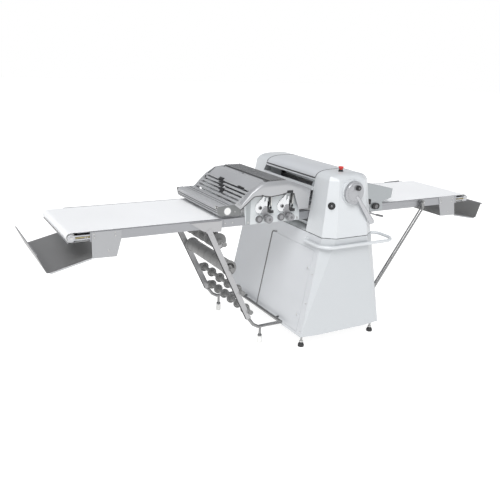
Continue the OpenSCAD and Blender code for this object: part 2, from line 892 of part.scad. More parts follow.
channel_low = [-694, 214];
channel_high = [-1046, 938];
channel_dir = (channel_high - channel_low) / norm(channel_high - channel_low);
channel_side = [channel_dir[1], -channel_dir[0]];   // towards the cabinet

// A hook beside the channel that carries a parked roller's axle
module parking_hook(axis) {
    on_line = channel_low + channel_dir * ((axis - channel_low) * channel_dir);
    difference() {
        along_y([on_line - channel_dir * 16, on_line + channel_dir * 12, axis + [14, 8], axis + [12, -14],
                 axis + [-8, -16]], -rack_y - 3, -rack_y + 3);
        rod_y(axis[0], axis[1], parked_axle_r + fit, -rack_y - 4, -rack_y + 4);
        block([axis[0] - parked_axle_r - fit, -rack_y - 4, axis[1]],
              [axis[0] + parked_axle_r + fit, -rack_y + 4, axis[1] + 40]);
    }
}

module rack_channels() {
    wide = channel_side * 20;
    color("darkgray") at_head() both_sides() {
        along_y([channel_low - wide, channel_low + wide, channel_high + wide, channel_high - wide],
                -rack_y - 8, -rack_y + 4);
        along_y([[-1183, 996], [-945, 994], [-947, 918], [-1060, 924], [-1090, 934]],
                -rack_y - 4, -rail_out_y);
        for (axis = parked) parking_hook(axis);
    }
}

module rack_frame() {
    low_z = 136;
    color("darkgray") at_head() {
        both_sides() {
            bent_tube([[channel_low[0], -rack_y, channel_low[1]], [-652, -rack_y, 160],
                       [-610, -rack_y, low_z], [-402, -rack_y, low_z]], rack_tube_r);
            rod_between([-590, -rack_y, low_z], [-590, -rack_y, 58], 10);
            translate([-402, -rack_y, low_z]) sphere(r = rack_tube_r);
        }
        rod_y(-402, low_z, rack_tube_r, -rack_y, rack_y);
        for (y = [-250, 250]) rod_between([-402, y, low_z], [-366, y, low_z], 8);
    }
}

module rack_feet() {
    color("white") at_head() for (y = [-rack_y, rack_y]) translate([-590, y, 0]) difference() {
        cylinder(r = 20, h = 62);
        translate([0, 0, 58]) cylinder(r = 10, h = 10);
    }
}

// A parked roller: axle, core, discs at equal distances and an end plate with a grip
module parked_roller(axis, core_r, disc_r, discs, disc_t) {
    half = 322;
    pitch = (2 * half - 90) / (discs - 1);
    rod_y(axis[0], axis[1], core_r, -half, half);
    rod_y(axis[0], axis[1], parked_axle_r, -374, 358);
    for (i = [0 : discs - 1]) {
        y = -half + 45 + pitch * i;
        rod_y(axis[0], axis[1], disc_r, y - disc_t / 2, y + disc_t / 2);
    }
    rod_y(axis[0], axis[1], 18, -376, -362);
}

module parked_blade_roller() {
    color("gray") at_head() parked_roller(parked[0], 20, 60, 6, 6);
}

module parked_drum() {
    color("gray") at_head() parked_roller(parked[1], 50, 56, 2, 20);
}

module parked_disc_cutter_1() {
    color("gray") at_head() parked_roller(parked[2], 16, 38, 5, 12);
}

module parked_disc_cutter_2() {
    color("gray") at_head() parked_roller(parked[3], 16, 38, 6, 12);
}

base_frame();
left_side_panel();
left_service_cover();
right_side_panel();
front_cover();
back_cover();
levelling_feet();
hand_rail();
gear_motor();
drive_sprocket();
drive_chain();
control_box();
head_frame();
front_housing();
rear_housing();
head_roof();
lower_roller();
upper_roller();
upper_carriage();
lower_scrapers();
gap_lever();
stop_knob();
selector_knob();
estop_base();
estop_button();
right_cheeks();
right_guard();
right_table_frame();
right_belt();
right_inner_belt();
right_end_roller();
right_pivot_roller();
right_drive_roller();
right_tensioners();
right_tray();
right_strut();
table_latch();
left_table_frame();
left_belt();
left_end_roller();
left_drive_roller();
left_tensioners();
left_tray();
station_frames();
station_hoods();
station_top();
guard_panel();
cutter_arm_1();
cutter_arm_2();
cutting_roller_1();
cutting_roller_2();
pressure_knob_1();
pressure_knob_2();
rack_channels();
rack_frame();
rack_feet();
parked_blade_roller();
parked_drum();
parked_disc_cutter_1();
parked_disc_cutter_2();
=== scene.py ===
"""Looks of a floor-standing dough sheeter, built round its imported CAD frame. Metres, +Z up."""

import json
import math

import bmesh
import bpy
from mathutils import Matrix, Vector


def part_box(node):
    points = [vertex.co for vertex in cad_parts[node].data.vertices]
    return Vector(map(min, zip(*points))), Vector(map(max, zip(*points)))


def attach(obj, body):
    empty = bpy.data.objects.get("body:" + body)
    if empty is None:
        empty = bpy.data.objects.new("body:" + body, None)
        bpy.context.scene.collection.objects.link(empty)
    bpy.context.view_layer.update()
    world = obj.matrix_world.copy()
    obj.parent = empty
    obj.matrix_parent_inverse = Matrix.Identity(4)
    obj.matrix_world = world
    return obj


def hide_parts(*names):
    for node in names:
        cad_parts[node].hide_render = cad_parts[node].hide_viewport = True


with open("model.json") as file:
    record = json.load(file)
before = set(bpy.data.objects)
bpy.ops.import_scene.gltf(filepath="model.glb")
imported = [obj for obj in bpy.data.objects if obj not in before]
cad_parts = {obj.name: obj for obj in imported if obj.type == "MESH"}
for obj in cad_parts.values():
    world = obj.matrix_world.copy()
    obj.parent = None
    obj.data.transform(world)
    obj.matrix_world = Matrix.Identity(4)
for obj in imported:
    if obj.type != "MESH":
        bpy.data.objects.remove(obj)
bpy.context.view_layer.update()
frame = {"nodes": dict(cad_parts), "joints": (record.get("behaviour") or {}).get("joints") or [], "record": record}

MACHINE = "machine"          # the body that stands still
OUT = Vector((0, -1, 0))     # towards the operator
UP = Vector((0, 0, 1))


def middle(node):
    low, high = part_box(node)
    return (low + high) / 2


def corner(node, rank):
    """The vertex of a CAD node with the highest rank."""
    return max((v.co.copy() for v in frame["nodes"][node].data.vertices), key=rank)


PIVOT = {j["name"]: Vector(j["pos_m"]) for j in frame["joints"] if "pos_m" in j}
AXIS = {j["name"]: Vector(j["axis"]) for j in frame["joints"]}
HEAD_X = middle("lower_roller").x


def at(x, y, z):
    """A point given from the middle of the head, in metres."""
    return Vector((x + HEAD_X, y, z))


# ---------------------------------------------------------------- materials

def noise(nodes, links, source, scale, detail):
    texture = nodes.new("ShaderNodeTexNoise")
    texture.inputs["Scale"].default_value = scale
    texture.inputs["Detail"].default_value = detail
    links.new(source, texture.inputs["Vector"])
    return texture.outputs["Fac"]


def between(nodes, links, source, low, high, at_low=0.3, at_high=0.7):
    span = nodes.new("ShaderNodeMapRange")
    span.inputs["From Min"].default_value = at_low
    span.inputs["From Max"].default_value = at_high
    span.inputs["To Min"].default_value = low
    span.inputs["To Max"].default_value = high
    links.new(source, span.inputs["Value"])
    return span.outputs["Result"]


def relief(nodes, links, bsdf, height, strength, depth):
    bump = nodes.new("ShaderNodeBump")
    bump.inputs["Strength"].default_value = strength
    bump.inputs["Distance"].default_value = depth
    links.new(height, bump.inputs["Height"])
    links.new(bump.outputs["Normal"], bsdf.inputs["Normal"])


def surface(name, colour, rough, metallic=0.0, drift=0.05, patches=2.5, grain=700.0, bump=0.2,
            stretch=(1, 1, 1), coat=0.0, span=0.06, glow=0.0):
    """A finish whose colour drifts in soft patches and whose fine grain shows in gloss and relief."""
    made = bpy.data.materials.new(name)
    made.use_nodes = True
    nodes, links = made.node_tree.nodes, made.node_tree.links
    bsdf = nodes["Principled BSDF"]
    place = nodes.new("ShaderNodeTexCoord").outputs["Object"]
    mapping = nodes.new("ShaderNodeMapping")
    mapping.inputs["Scale"].default_value = stretch
    links.new(place, mapping.inputs["Vector"])
    soft = noise(nodes, links, place, patches, 3)
    fine = noise(nodes, links, mapping.outputs["Vector"], grain, 2)
    blend = nodes.new("ShaderNodeMath")
    blend.operation = "MULTIPLY_ADD"
    blend.inputs[1].default_value = 0.35
    links.new(fine, blend.inputs[0])
    links.new(between(nodes, links, soft, 0.0, 0.65), blend.inputs[2])
    ramp = nodes.new("ShaderNodeValToRGB")
    for stop, share in ((0, 1 - drift), (1, 1 + drift)):
        ramp.color_ramp.elements[stop].color = [min(1, c * share) for c in colour] + [1]
    links.new(blend.outputs[0], ramp.inputs["Fac"])
    links.new(ramp.outputs["Color"], bsdf.inputs["Base Color"])
    links.new(between(nodes, links, blend.outputs[0], rough - span, rough + span), bsdf.inputs["Roughness"])
    bsdf.inputs["Metallic"].default_value = metallic
    bsdf.inputs["Coat Weight"].default_value = coat
    bsdf.inputs["Coat Roughness"].default_value = 0.12
    bsdf.inputs["Emission Color"].default_value = (*colour, 1)
    bsdf.inputs["Emission Strength"].default_value = glow
    relief(nodes, links, bsdf, fine, bump, 0.0002)
    return made


def woven(name, colour, rough, threads):
    """A belt's face: two crossed sets of fine ribs, with faint patches of wear."""
    made = surface(name, colour, rough, drift=0.03, patches=1.6)
    nodes, links = made.node_tree.nodes, made.node_tree.links
    bsdf = nodes["Principled BSDF"]
    place = nodes.new("ShaderNodeTexCoord").outputs["Object"]
    ribs = []
    for direction in ("X", "Y"):
        wave = nodes.new("ShaderNodeTexWave")
        wave.bands_direction = direction
        wave.inputs["Scale"].default_value = threads
        links.new(place, wave.inputs["Vector"])
        ribs.append(wave.outputs["Fac"])
    cross = nodes.new("ShaderNodeMath")
    cross.operation = "MULTIPLY"
    links.new(ribs[0], cross.inputs[0])
    links.new(ribs[1], cross.inputs[1])
    relief(nodes, links, bsdf, cross.outputs[0], 0.25, 0.0003)
    return made


BRUSH_X = (0.03, 1, 1)
BRUSH_Y = (1, 0.03, 1)

base_paint = surface("base_paint", (0.515, 0.535, 0.550), 0.38, coat=0.25, drift=0.02)
white_paint = surface("white_paint", (0.600, 0.620, 0.635), 0.36, coat=0.25, drift=0.02)
side_paint = surface("side_paint", (0.570, 0.585, 0.605), 0.42, coat=0.12, drift=0.03)
panel_paint = surface("panel_paint", (0.60, 0.625, 0.635), 0.45, drift=0.03)
frame_paint = surface("frame_paint", (0.045, 0.047, 0.05), 0.55, grain=400, bump=0.3)
motor_paint = surface("motor_paint", (0.05, 0.07, 0.09), 0.5, grain=250, bump=0.5)
rail_steel = surface("rail_steel", (0.36, 0.365, 0.38), 0.42, 0.75, stretch=BRUSH_X, drift=0.06)
sheet_steel = surface("sheet_steel", (0.36, 0.36, 0.365), 0.40, 0.80, stretch=BRUSH_Y, drift=0.07)
cheek_steel = surface("cheek_steel", (0.38, 0.40, 0.41), 0.40, 0.70, stretch=BRUSH_X, drift=0.05)
tray_steel = surface("tray_steel", (0.27, 0.268, 0.268), 0.42, 0.70, stretch=BRUSH_X, drift=0.08)
hood_steel = surface("hood_steel", (0.46, 0.465, 0.475), 0.44, 0.50, stretch=BRUSH_X, drift=0.05)
rack_steel = surface("rack_steel", (0.43, 0.43, 0.435), 0.42, 0.55, stretch=(1, 1, 0.03), drift=0.10)
tube_steel = surface("tube_steel", (0.27, 0.27, 0.27), 0.24, 0.92, drift=0.05)
guard_steel = surface("guard_steel", (0.50, 0.505, 0.515), 0.42, 0.40, stretch=BRUSH_Y, drift=0.06)
end_steel = surface("end_steel", (0.20, 0.205, 0.205), 0.42, 0.60, stretch=BRUSH_X, drift=0.08)
gusset_steel = surface("gusset_steel", (0.40, 0.405, 0.415), 0.44, 0.55, stretch=BRUSH_X, drift=0.06)
bright_alloy = surface("bright_alloy", (0.72, 0.73, 0.74), 0.24, 0.80, drift=0.05, grain=900)
cast_alloy = surface("cast_alloy", (0.42, 0.425, 0.44), 0.38, 0.65, grain=420, bump=0.35, drift=0.08)
dark_alloy = surface("dark_alloy", (0.17, 0.17, 0.175), 0.42, 0.55, grain=380, bump=0.35, drift=0.12)
chrome = surface("chrome", (0.75, 0.76, 0.77), 0.10, 1.0, drift=0.02, span=0.03, bump=0.04)
zinc = surface("zinc", (0.58, 0.58, 0.57), 0.33, 0.85, grain=300, drift=0.10)
brass = surface("brass", (0.55, 0.47, 0.25), 0.32, 0.9, drift=0.08)
oiled_steel = surface("oiled_steel", (0.12, 0.12, 0.12), 0.30, 0.85, drift=0.15)
lever_alloy = surface("lever_alloy", (0.50, 0.505, 0.52), 0.34, 0.55, grain=420, bump=0.25, drift=0.06)
grey_alloy = surface("grey_alloy", (0.30, 0.30, 0.31), 0.36, 0.60, grain=420, bump=0.3, drift=0.10)
cutter_plastic = surface("cutter_plastic", (0.20, 0.20, 0.198), 0.48, grain=500, drift=0.12)
pale_plastic = surface("pale_plastic", (0.74, 0.74, 0.72), 0.45, grain=500, drift=0.04)
black_plastic = surface("black_plastic", (0.012, 0.012, 0.013), 0.42, grain=650, bump=0.4, drift=0.2)
rubber = surface("rubber", (0.03, 0.03, 0.031), 0.7, grain=500, bump=0.5, drift=0.2)
seal_grey = surface("seal_grey", (0.16, 0.16, 0.16), 0.6, grain=500, bump=0.4, drift=0.15)
seal = surface("seal", (0.07, 0.07, 0.072), 0.7, grain=500, bump=0.4, drift=0.2)
red_plastic = surface("red_plastic", (0.62, 0.03, 0.02), 0.3, coat=0.4, drift=0.06)
belt_cloth = woven("belt_cloth", (0.93, 0.935, 0.94), 0.55, 260.0)


# ---------------------------------------------------------------- mesh building

def across(axis):
    """Two directions at right angles to axis and to each other."""
    axis = Vector(axis).normalized()
    side = UP if abs(axis.z) < 0.9 else Vector((1, 0, 0))
    first = axis.cross(side).normalized()
    return first, axis.cross(first).normalized()


def rounded(points, reach, steps=8):
    """A path through points whose corners are replaced by curves that start reach before them."""
    path = [Vector(points[0])]
    for before, here, after in zip(points, points[1:], points[2:]):
        before, here, after = Vector(before), Vector(here), Vector(after)
        start = here + (before - here).normalized() * min(reach, (before - here).length * 0.49)
        end = here + (after - here).normalized() * min(reach, (after - here).length * 0.49)
        for i in range(steps + 1):
            t = i / steps
            path.append(start * (1 - t) ** 2 + here * 2 * t * (1 - t) + end * t ** 2)
    path.append(Vector(points[-1]))
    return path


class Shape:
    """One piece under construction: solids with finishes, joined into a single mesh."""

    def __init__(self, *finishes):
        self.bm = bmesh.new()
        self.finishes = list(finishes)

    def skin(self, rings, finish=0, loop=False):
        """A closed skin through rings of equally many points, capped unless it loops back."""
        made = [[self.bm.verts.new(p) for p in ring] for ring in rings]
        count = len(made[0])
        faces = []
        for a, b in zip(made, made[1:] + (made[:1] if loop else [])):
            for i in range(count):
                j = (i + 1) % count
                faces.append(self.bm.faces.new((a[i], a[j], b[j], b[i])))
        if not loop:
            faces.append(self.bm.faces.new(made[0][::-1]))
            faces.append(self.bm.faces.new(made[-1]))
        for face in faces:
            face.material_index = finish
        bmesh.ops.recalc_face_normals(self.bm, faces=faces)
        return faces

    def soften(self, faces, width, steps=2):
        edges = {e for f in faces for e in f.edges}
        sharp = [e for e in edges if e.is_manifold and e.calc_face_angle() > 0.5]
        bmesh.ops.bevel(self.bm, geom=sharp, offset=width, segments=steps, profile=0.5,
                        affect="EDGES", clamp_overlap=True)

    def lathe(self, profile, centre, axis=OUT, finish=0, steps=40, flutes=0, depth=0.0):
        """A turned solid: profile lists (distance along the axis, radius); flutes are grip hollows."""
        axis = Vector(axis).normalized()
        first, second = across(axis)
        rings = []
        for along, radius in profile:
            ring = []
            for i in range(steps):
                angle = 2 * math.pi * i / steps
                r = radius - depth * (0.5 + 0.5 * math.cos(flutes * angle)) if flutes else radius
                ring.append(centre + axis * along + (first * math.cos(angle) + second * math.sin(angle)) * r)
            rings.append(ring)
        return self.skin(rings, finish)

    def plate(self, outline, y0, y1, finish=0, edge=0.0, steps=2):
        """An outline of (x, z) points, given from the head's middle, made solid from y0 to y1."""
        faces = self.skin([[at(x, y, z) for x, z in outline] for y in (y0, y1)], finish)
        if edge:
            self.soften(faces, edge, steps)

    def block(self, low, high, finish=0, edge=0.001, turn=None):
        """A box between two corners with softened edges, turned by a matrix about its middle."""
        low, high = Vector(low), Vector(high)
        ring = [(low.x, low.y), (high.x, low.y), (high.x, high.y), (low.x, high.y)]
        points = [[Vector((x, y, z)) for x, y in ring] for z in (low.z, high.z)]
        if turn is not None:
            centre = (low + high) / 2
            points = [[centre + turn @ (p - centre) for p in row] for row in points]
        faces = self.skin(points, finish)
        if edge:
            self.soften(faces, edge)

    def tube(self, path, radius, finish=0, steps=20):
        """A round bar along a path of points."""
        path = [Vector(p) for p in path]
        first, _ = across(path[1] - path[0])
        rings = []
        for i, point in enumerate(path):
            ahead = path[min(i + 1, len(path) - 1)] - path[max(i - 1, 0)]
            ahead.normalize()
            first = (first - ahead * first.dot(ahead)).normalized()
            second = ahead.cross(first)
            angles = [2 * math.pi * k / steps for k in range(steps)]
            rings.append([point + (first * math.cos(a) + second * math.sin(a)) * radius for a in angles])
        return self.skin(rings, finish)

    def bolt(self, centre, axis=OUT, size=0.006, finish=0):
        """A hexagon head on a washer, standing on the surface at centre."""
        self.lathe([(-0.001, size * 1.35), (size * 0.22, size * 1.35), (size * 0.28, size * 1.25)],
                   centre, axis, finish, 24)
        self.lathe([(size * 0.2, size), (size * 0.95, size), (size * 1.15, size * 0.82)],
                   centre, axis, finish, 6)

    def screw(self, centre, axis=OUT, size=0.005, finish=0):
        """A round head with a socket in it."""
        self.lathe([(-0.001, size), (size * 0.35, size), (size * 0.6, size * 0.8),
                    (size * 0.62, size * 0.45),
                    (size * 0.2, size * 0.42), (size * 0.18, size * 0.05)], centre, axis, finish, 20)

    def done(self, name, body, slot, *replaced):
        """Turns the mesh into an object that rides on body and stands for the replaced CAD nodes."""
        for face in self.bm.faces:
            face.smooth = True
        for edge in self.bm.edges:
            edge.smooth = not (edge.is_manifold and edge.calc_face_angle() > 0.7)
        mesh = bpy.data.meshes.new(name)
        self.bm.to_mesh(mesh)
        self.bm.free()
        for finish in self.finishes:
            mesh.materials.append(finish)
        piece = bpy.data.objects.new(name, mesh)
        bpy.context.scene.collection.objects.link(piece)
        normals = piece.modifiers.new("normals", "WEIGHTED_NORMAL")
        normals.keep_sharp = True
        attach(piece, body)
        if replaced:
            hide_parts(*replaced)
        return piece


def dress(finish, *nodes, edge=0.0007):
    """Gives CAD nodes a finish and softens their edges, leaving their own meshes alone."""
    for node in nodes:
        piece = frame["nodes"][node]
        piece.data.materials.clear()
        piece.data.materials.append(finish)
        for face in piece.data.polygons:
            face.material_index = 0
            face.use_smooth = True
        weld = piece.modifiers.new("weld", "WELD")
        weld.merge_threshold = 0.00001
        if edge:
            bevel = piece.modifiers.new("edges", "BEVEL")
            bevel.width = edge
            bevel.segments = 2
            bevel.limit_method = "ANGLE"
            bevel.angle_limit = math.radians(35)
            bevel.use_clamp_overlap = False
        normals = piece.modifiers.new("normals", "WEIGHTED_NORMAL")
        normals.keep_sharp = True


# ---------------------------------------------------------------- camera, floor and lights

def studio():
    yaw, pitch, roll = (math.radians(a) for a in (30.5, 17.4, 2.6))
    camera = bpy.data.objects.new("camera", bpy.data.cameras.new("camera"))
    turn = Matrix.Rotation(-yaw, 4, "Z") @ Matrix.Rotation(math.pi / 2 - pitch, 4, "X")
    camera.matrix_world = (Matrix.Translation(at(-2.8689, -4.0128, 2.0886)) @ turn
                           @ Matrix.Rotation(roll, 4, "Z"))
    camera.data.sensor_width = 36.0
    camera.data.lens = 44.59
    bpy.context.scene.collection.objects.link(camera)
    bpy.context.scene.camera = camera

    floor = bpy.data.objects.new("floor", bpy.data.meshes.new("floor"))
    size = 40.0
    floor.data.from_pydata([(-size, -size, 0), (size, -size, 0), (size, size, 0), (-size, size, 0)], [],
                           [(0, 1, 2, 3)])
    floor.data.materials.append(surface("floor_paint", (0.32, 0.32, 0.32), 0.9, drift=0.01, bump=0.02,
                                        glow=2.9))
    bpy.context.scene.collection.objects.link(floor)

    def sun(name, towards, power, angle):
        light = bpy.data.objects.new(name, bpy.data.lights.new(name, "SUN"))
        light.data.energy = power
        light.data.angle = math.radians(angle)
        light.rotation_mode = "QUATERNION"
        light.rotation_quaternion = Vector(towards).to_track_quat("Z", "Y")
        bpy.context.scene.collection.objects.link(light)

    sun("key_light", (-0.36, -0.50, 0.79), 2.55, 38)
    sun("rim_light", (0.30, 0.55, 0.78), 0.25, 60)

    world = bpy.data.worlds.new("studio")
    world.use_nodes = True
    nodes, links = world.node_tree.nodes, world.node_tree.links
    direction = nodes.new("ShaderNodeTexCoord").outputs["Generated"]
    split = nodes.new("ShaderNodeSeparateXYZ")
    links.new(direction, split.inputs["Vector"])
    ramp = nodes.new("ShaderNodeValToRGB")
    ramp.color_ramp.elements[0].position = 0.10
    ramp.color_ramp.elements[0].color = (1, 1, 1, 1)
    ramp.color_ramp.elements[1].position = 0.35
    ramp.color_ramp.elements[1].color = (0.26, 0.27, 0.29, 1)
    links.new(split.outputs["Z"], ramp.inputs["Fac"])
    links.new(ramp.outputs["Color"], nodes["Background"].inputs["Color"])
    nodes["Background"].inputs["Strength"].default_value = 1.0
    bpy.context.scene.world = world
    bpy.context.scene.view_settings.view_transform = "Standard"


# ---------------------------------------------------------------- cabinet

PANEL_T = 0.004


def side_frame():
    """The left panel's foot, its direction up the slope and its outward normal."""
    low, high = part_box("left_side_panel")
    slope = Vector((high.x - low.x - PANEL_T, 0, high.z - low.z)).normalized()
    return Vector((low.x, 0, low.z)), slope, Vector((-slope.z, 0, slope.x))


def cabinet():
    dress(frame_paint, "base_frame")
    dress(side_paint, "left_side_panel", "left_service_cover", "right_side_panel")
    dress(base_paint, "front_cover", "back_cover")
    dress(white_paint, "hand_rail")
    dress(motor_paint, "gear_motor")
    dress(oiled_steel, "drive_sprocket", "drive_chain", edge=0)
    dress(side_paint, "control_box")

    foot, slope, outward = side_frame()
    across_y = Vector((0, 1, 0))

    def on_side(y, up, proud=0.0):
        return foot + slope * up + across_y * y + outward * proud

    # the door's rear edge: a dark strip that turns round its top corner, painted as the shadow in the gap behind
    # the door, and two turn locks
    low_edge = corner("left_service_cover", lambda v: v.y - 4 * v.z)
    high_edge = corner("left_service_cover", lambda v: v.y + 4 * v.z)
    up_low = (low_edge - foot).dot(slope) - 0.02
    up_high = (high_edge - foot).dot(slope) + 0.006
    door_gap_shadow = Shape(seal_grey)
    path = [on_side(low_edge.y + 0.005, up_low, 0.0), on_side(high_edge.y + 0.005, up_high - 0.006, 0.0),
            on_side(high_edge.y - 0.060, up_high + 0.006, 0.0)]
    door_gap_shadow.tube(rounded(path, 0.016), 0.0048)
    door_gap_shadow.done("door_gap_shadow", MACHINE, "foot")
    latch = Shape(side_paint, zinc)
    for share in (0.22, 0.78):
        hinge_at = on_side(-0.49 + 0.012, up_low + (up_high - up_low) * share, 0.001)
        latch.lathe([(0, 0.011), (0.004, 0.011), (0.006, 0.009)], hinge_at, outward, 0, 32)
        latch.screw(hinge_at + outward * 0.005, outward, 0.006, 1)
    latch.done("door_turn_locks", MACHINE, "black_plastic")

    # screws along the side panels' edges, on both sides of the cabinet
    screws = Shape(zinc)
    for mirrored in (False, True):
        for y_low, y_high in ((0.555, 0.535), (-0.555, -0.535)):
            for share in (0.05, 0.35, 0.65, 0.95):
                up = share * 0.75
                point = on_side(y_low + (y_high - y_low) * share, up, 0.0)
                normal = outward.copy()
                if mirrored:
                    point.x = 2 * HEAD_X - point.x
                    normal.x = -normal.x
                screws.screw(point, normal, 0.0055)
    screws.done("side_screws", MACHINE, "stainless")

    # louvres in the back cover, in a wide and a narrow column
    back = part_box("back_cover")[1].y
    vents = Shape(seal, white_paint)
    rows, pitch, width = 9, 0.022, 0.20
    lean = math.atan(0.016 / 0.75)
    for i in range(rows):
        z = 0.50 + pitch * i
        y = back - math.tan(lean) * (0.846 - z) + 0.0005
        for x in (-0.07, 0.12):
            half = width / 2 if x < 0 else width / 4
            turn = Matrix.Rotation(math.radians(-24), 3, "X")
            vents.block(at(x - half, y - 0.006, z), at(x + half, y + 0.001, z + 0.007), 0, 0.0015)
            vents.block(at(x - half, y - 0.004, z + 0.006), at(x + half, y + 0.003, z + 0.010), 1, 0.001,
                        turn)
    vents.done("back_louvres", MACHINE, "painted_white")

    # collar round the cable gland, which is the record's last mount
    gland_at = frame["record"]["mounts"][-1]["pos_m"]
    gland = Shape(black_plastic)
    centre = Vector((gland_at[0], back - 0.004, gland_at[2]))
    rim = [(-0.012, 0.0145), (-0.012, 0.022), (-0.004, 0.022), (-0.002, 0.020), (0.001, 0.0165),
           (0.003, 0.0155),
           (0.003, 0.0145)]
    gland.skin([[centre + Vector((0, along, 0)) + Vector((math.cos(a), 0, math.sin(a))) * r
                 for along, r in rim]
                for a in [2 * math.pi * k / 36 for k in range(36)]], 0, loop=True)
    gland.done("gland_collar", MACHINE, "black_plastic")

    # the deck cover takes the pale panel paint, lighter than its steel, as painted light where it lies in shade
    # under the belt
    deck = Shape(panel_paint)
    deck.block(at(-0.2235, -0.3415, 0.8465), at(0.2235, 0.3415, 0.8485), 0, 0.0006)
    deck.done("deck_cover", MACHINE, "stainless")

    feet = Shape(rubber, zinc)
    low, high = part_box("levelling_feet")
    pad_r = 0.024
    for x in (low.x + pad_r, high.x - pad_r):
        for y in (low.y + pad_r, high.y - pad_r):
            stand = Vector((x, y, 0))
            feet.lathe([(0, 0.020), (0.002, 0.0235), (0.016, 0.024), (0.019, 0.0215), (0.024, 0.020),
                        (0.034, 0.014)], stand, UP, 0)
            thread = [(0.033 + 0.0025 * k, 0.0085 if k % 2 else 0.0095) for k in range(24)]
            feet.lathe(thread, stand, UP, 1, 24)
            feet.lathe([(0.036, 0.014), (0.037, 0.015), (0.045, 0.015), (0.046, 0.014)], stand, UP, 1, 6)
    feet.done("levelling_feet_turned", MACHINE, "foot", "levelling_feet")

    flanges = Shape(white_paint)
    low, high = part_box("hand_rail")
    rail_z = (low.z + high.z) / 2
    for x, y in ((-0.238, -0.380), (0.243, -0.400)):
        direction = Vector((-1 if x < 0 else 1, 0, 0))
        flanges.lathe([(-0.006, 0.026), (0.003, 0.026), (0.006, 0.023), (0.007, 0.0135)],
                      at(x, y, rail_z), direction, 0, 36)
    flanges.done("rail_flanges", MACHINE, "painted_white")


# ---------------------------------------------------------------- roller head

SELECTOR_SEAT = 0.0026


def hull_outline(points):
    """The convex outline of (x, z) points, as a list that runs once round them."""
    points = sorted(set((round(x, 5), round(z, 5)) for x, z in points))
    chains = []
    for row in (points, points[::-1]):
        chain = []
        for p in row:
            while len(chain) > 1:
                a, b = chain[-2], chain[-1]
                if (b[0] - a[0]) * (p[1] - a[1]) - (b[1] - a[1]) * (p[0] - a[0]) > 0:
                    break
                chain.pop()
            chain.append(p)
        chains.append(chain[:-1])
    return chains[0] + chains[1]


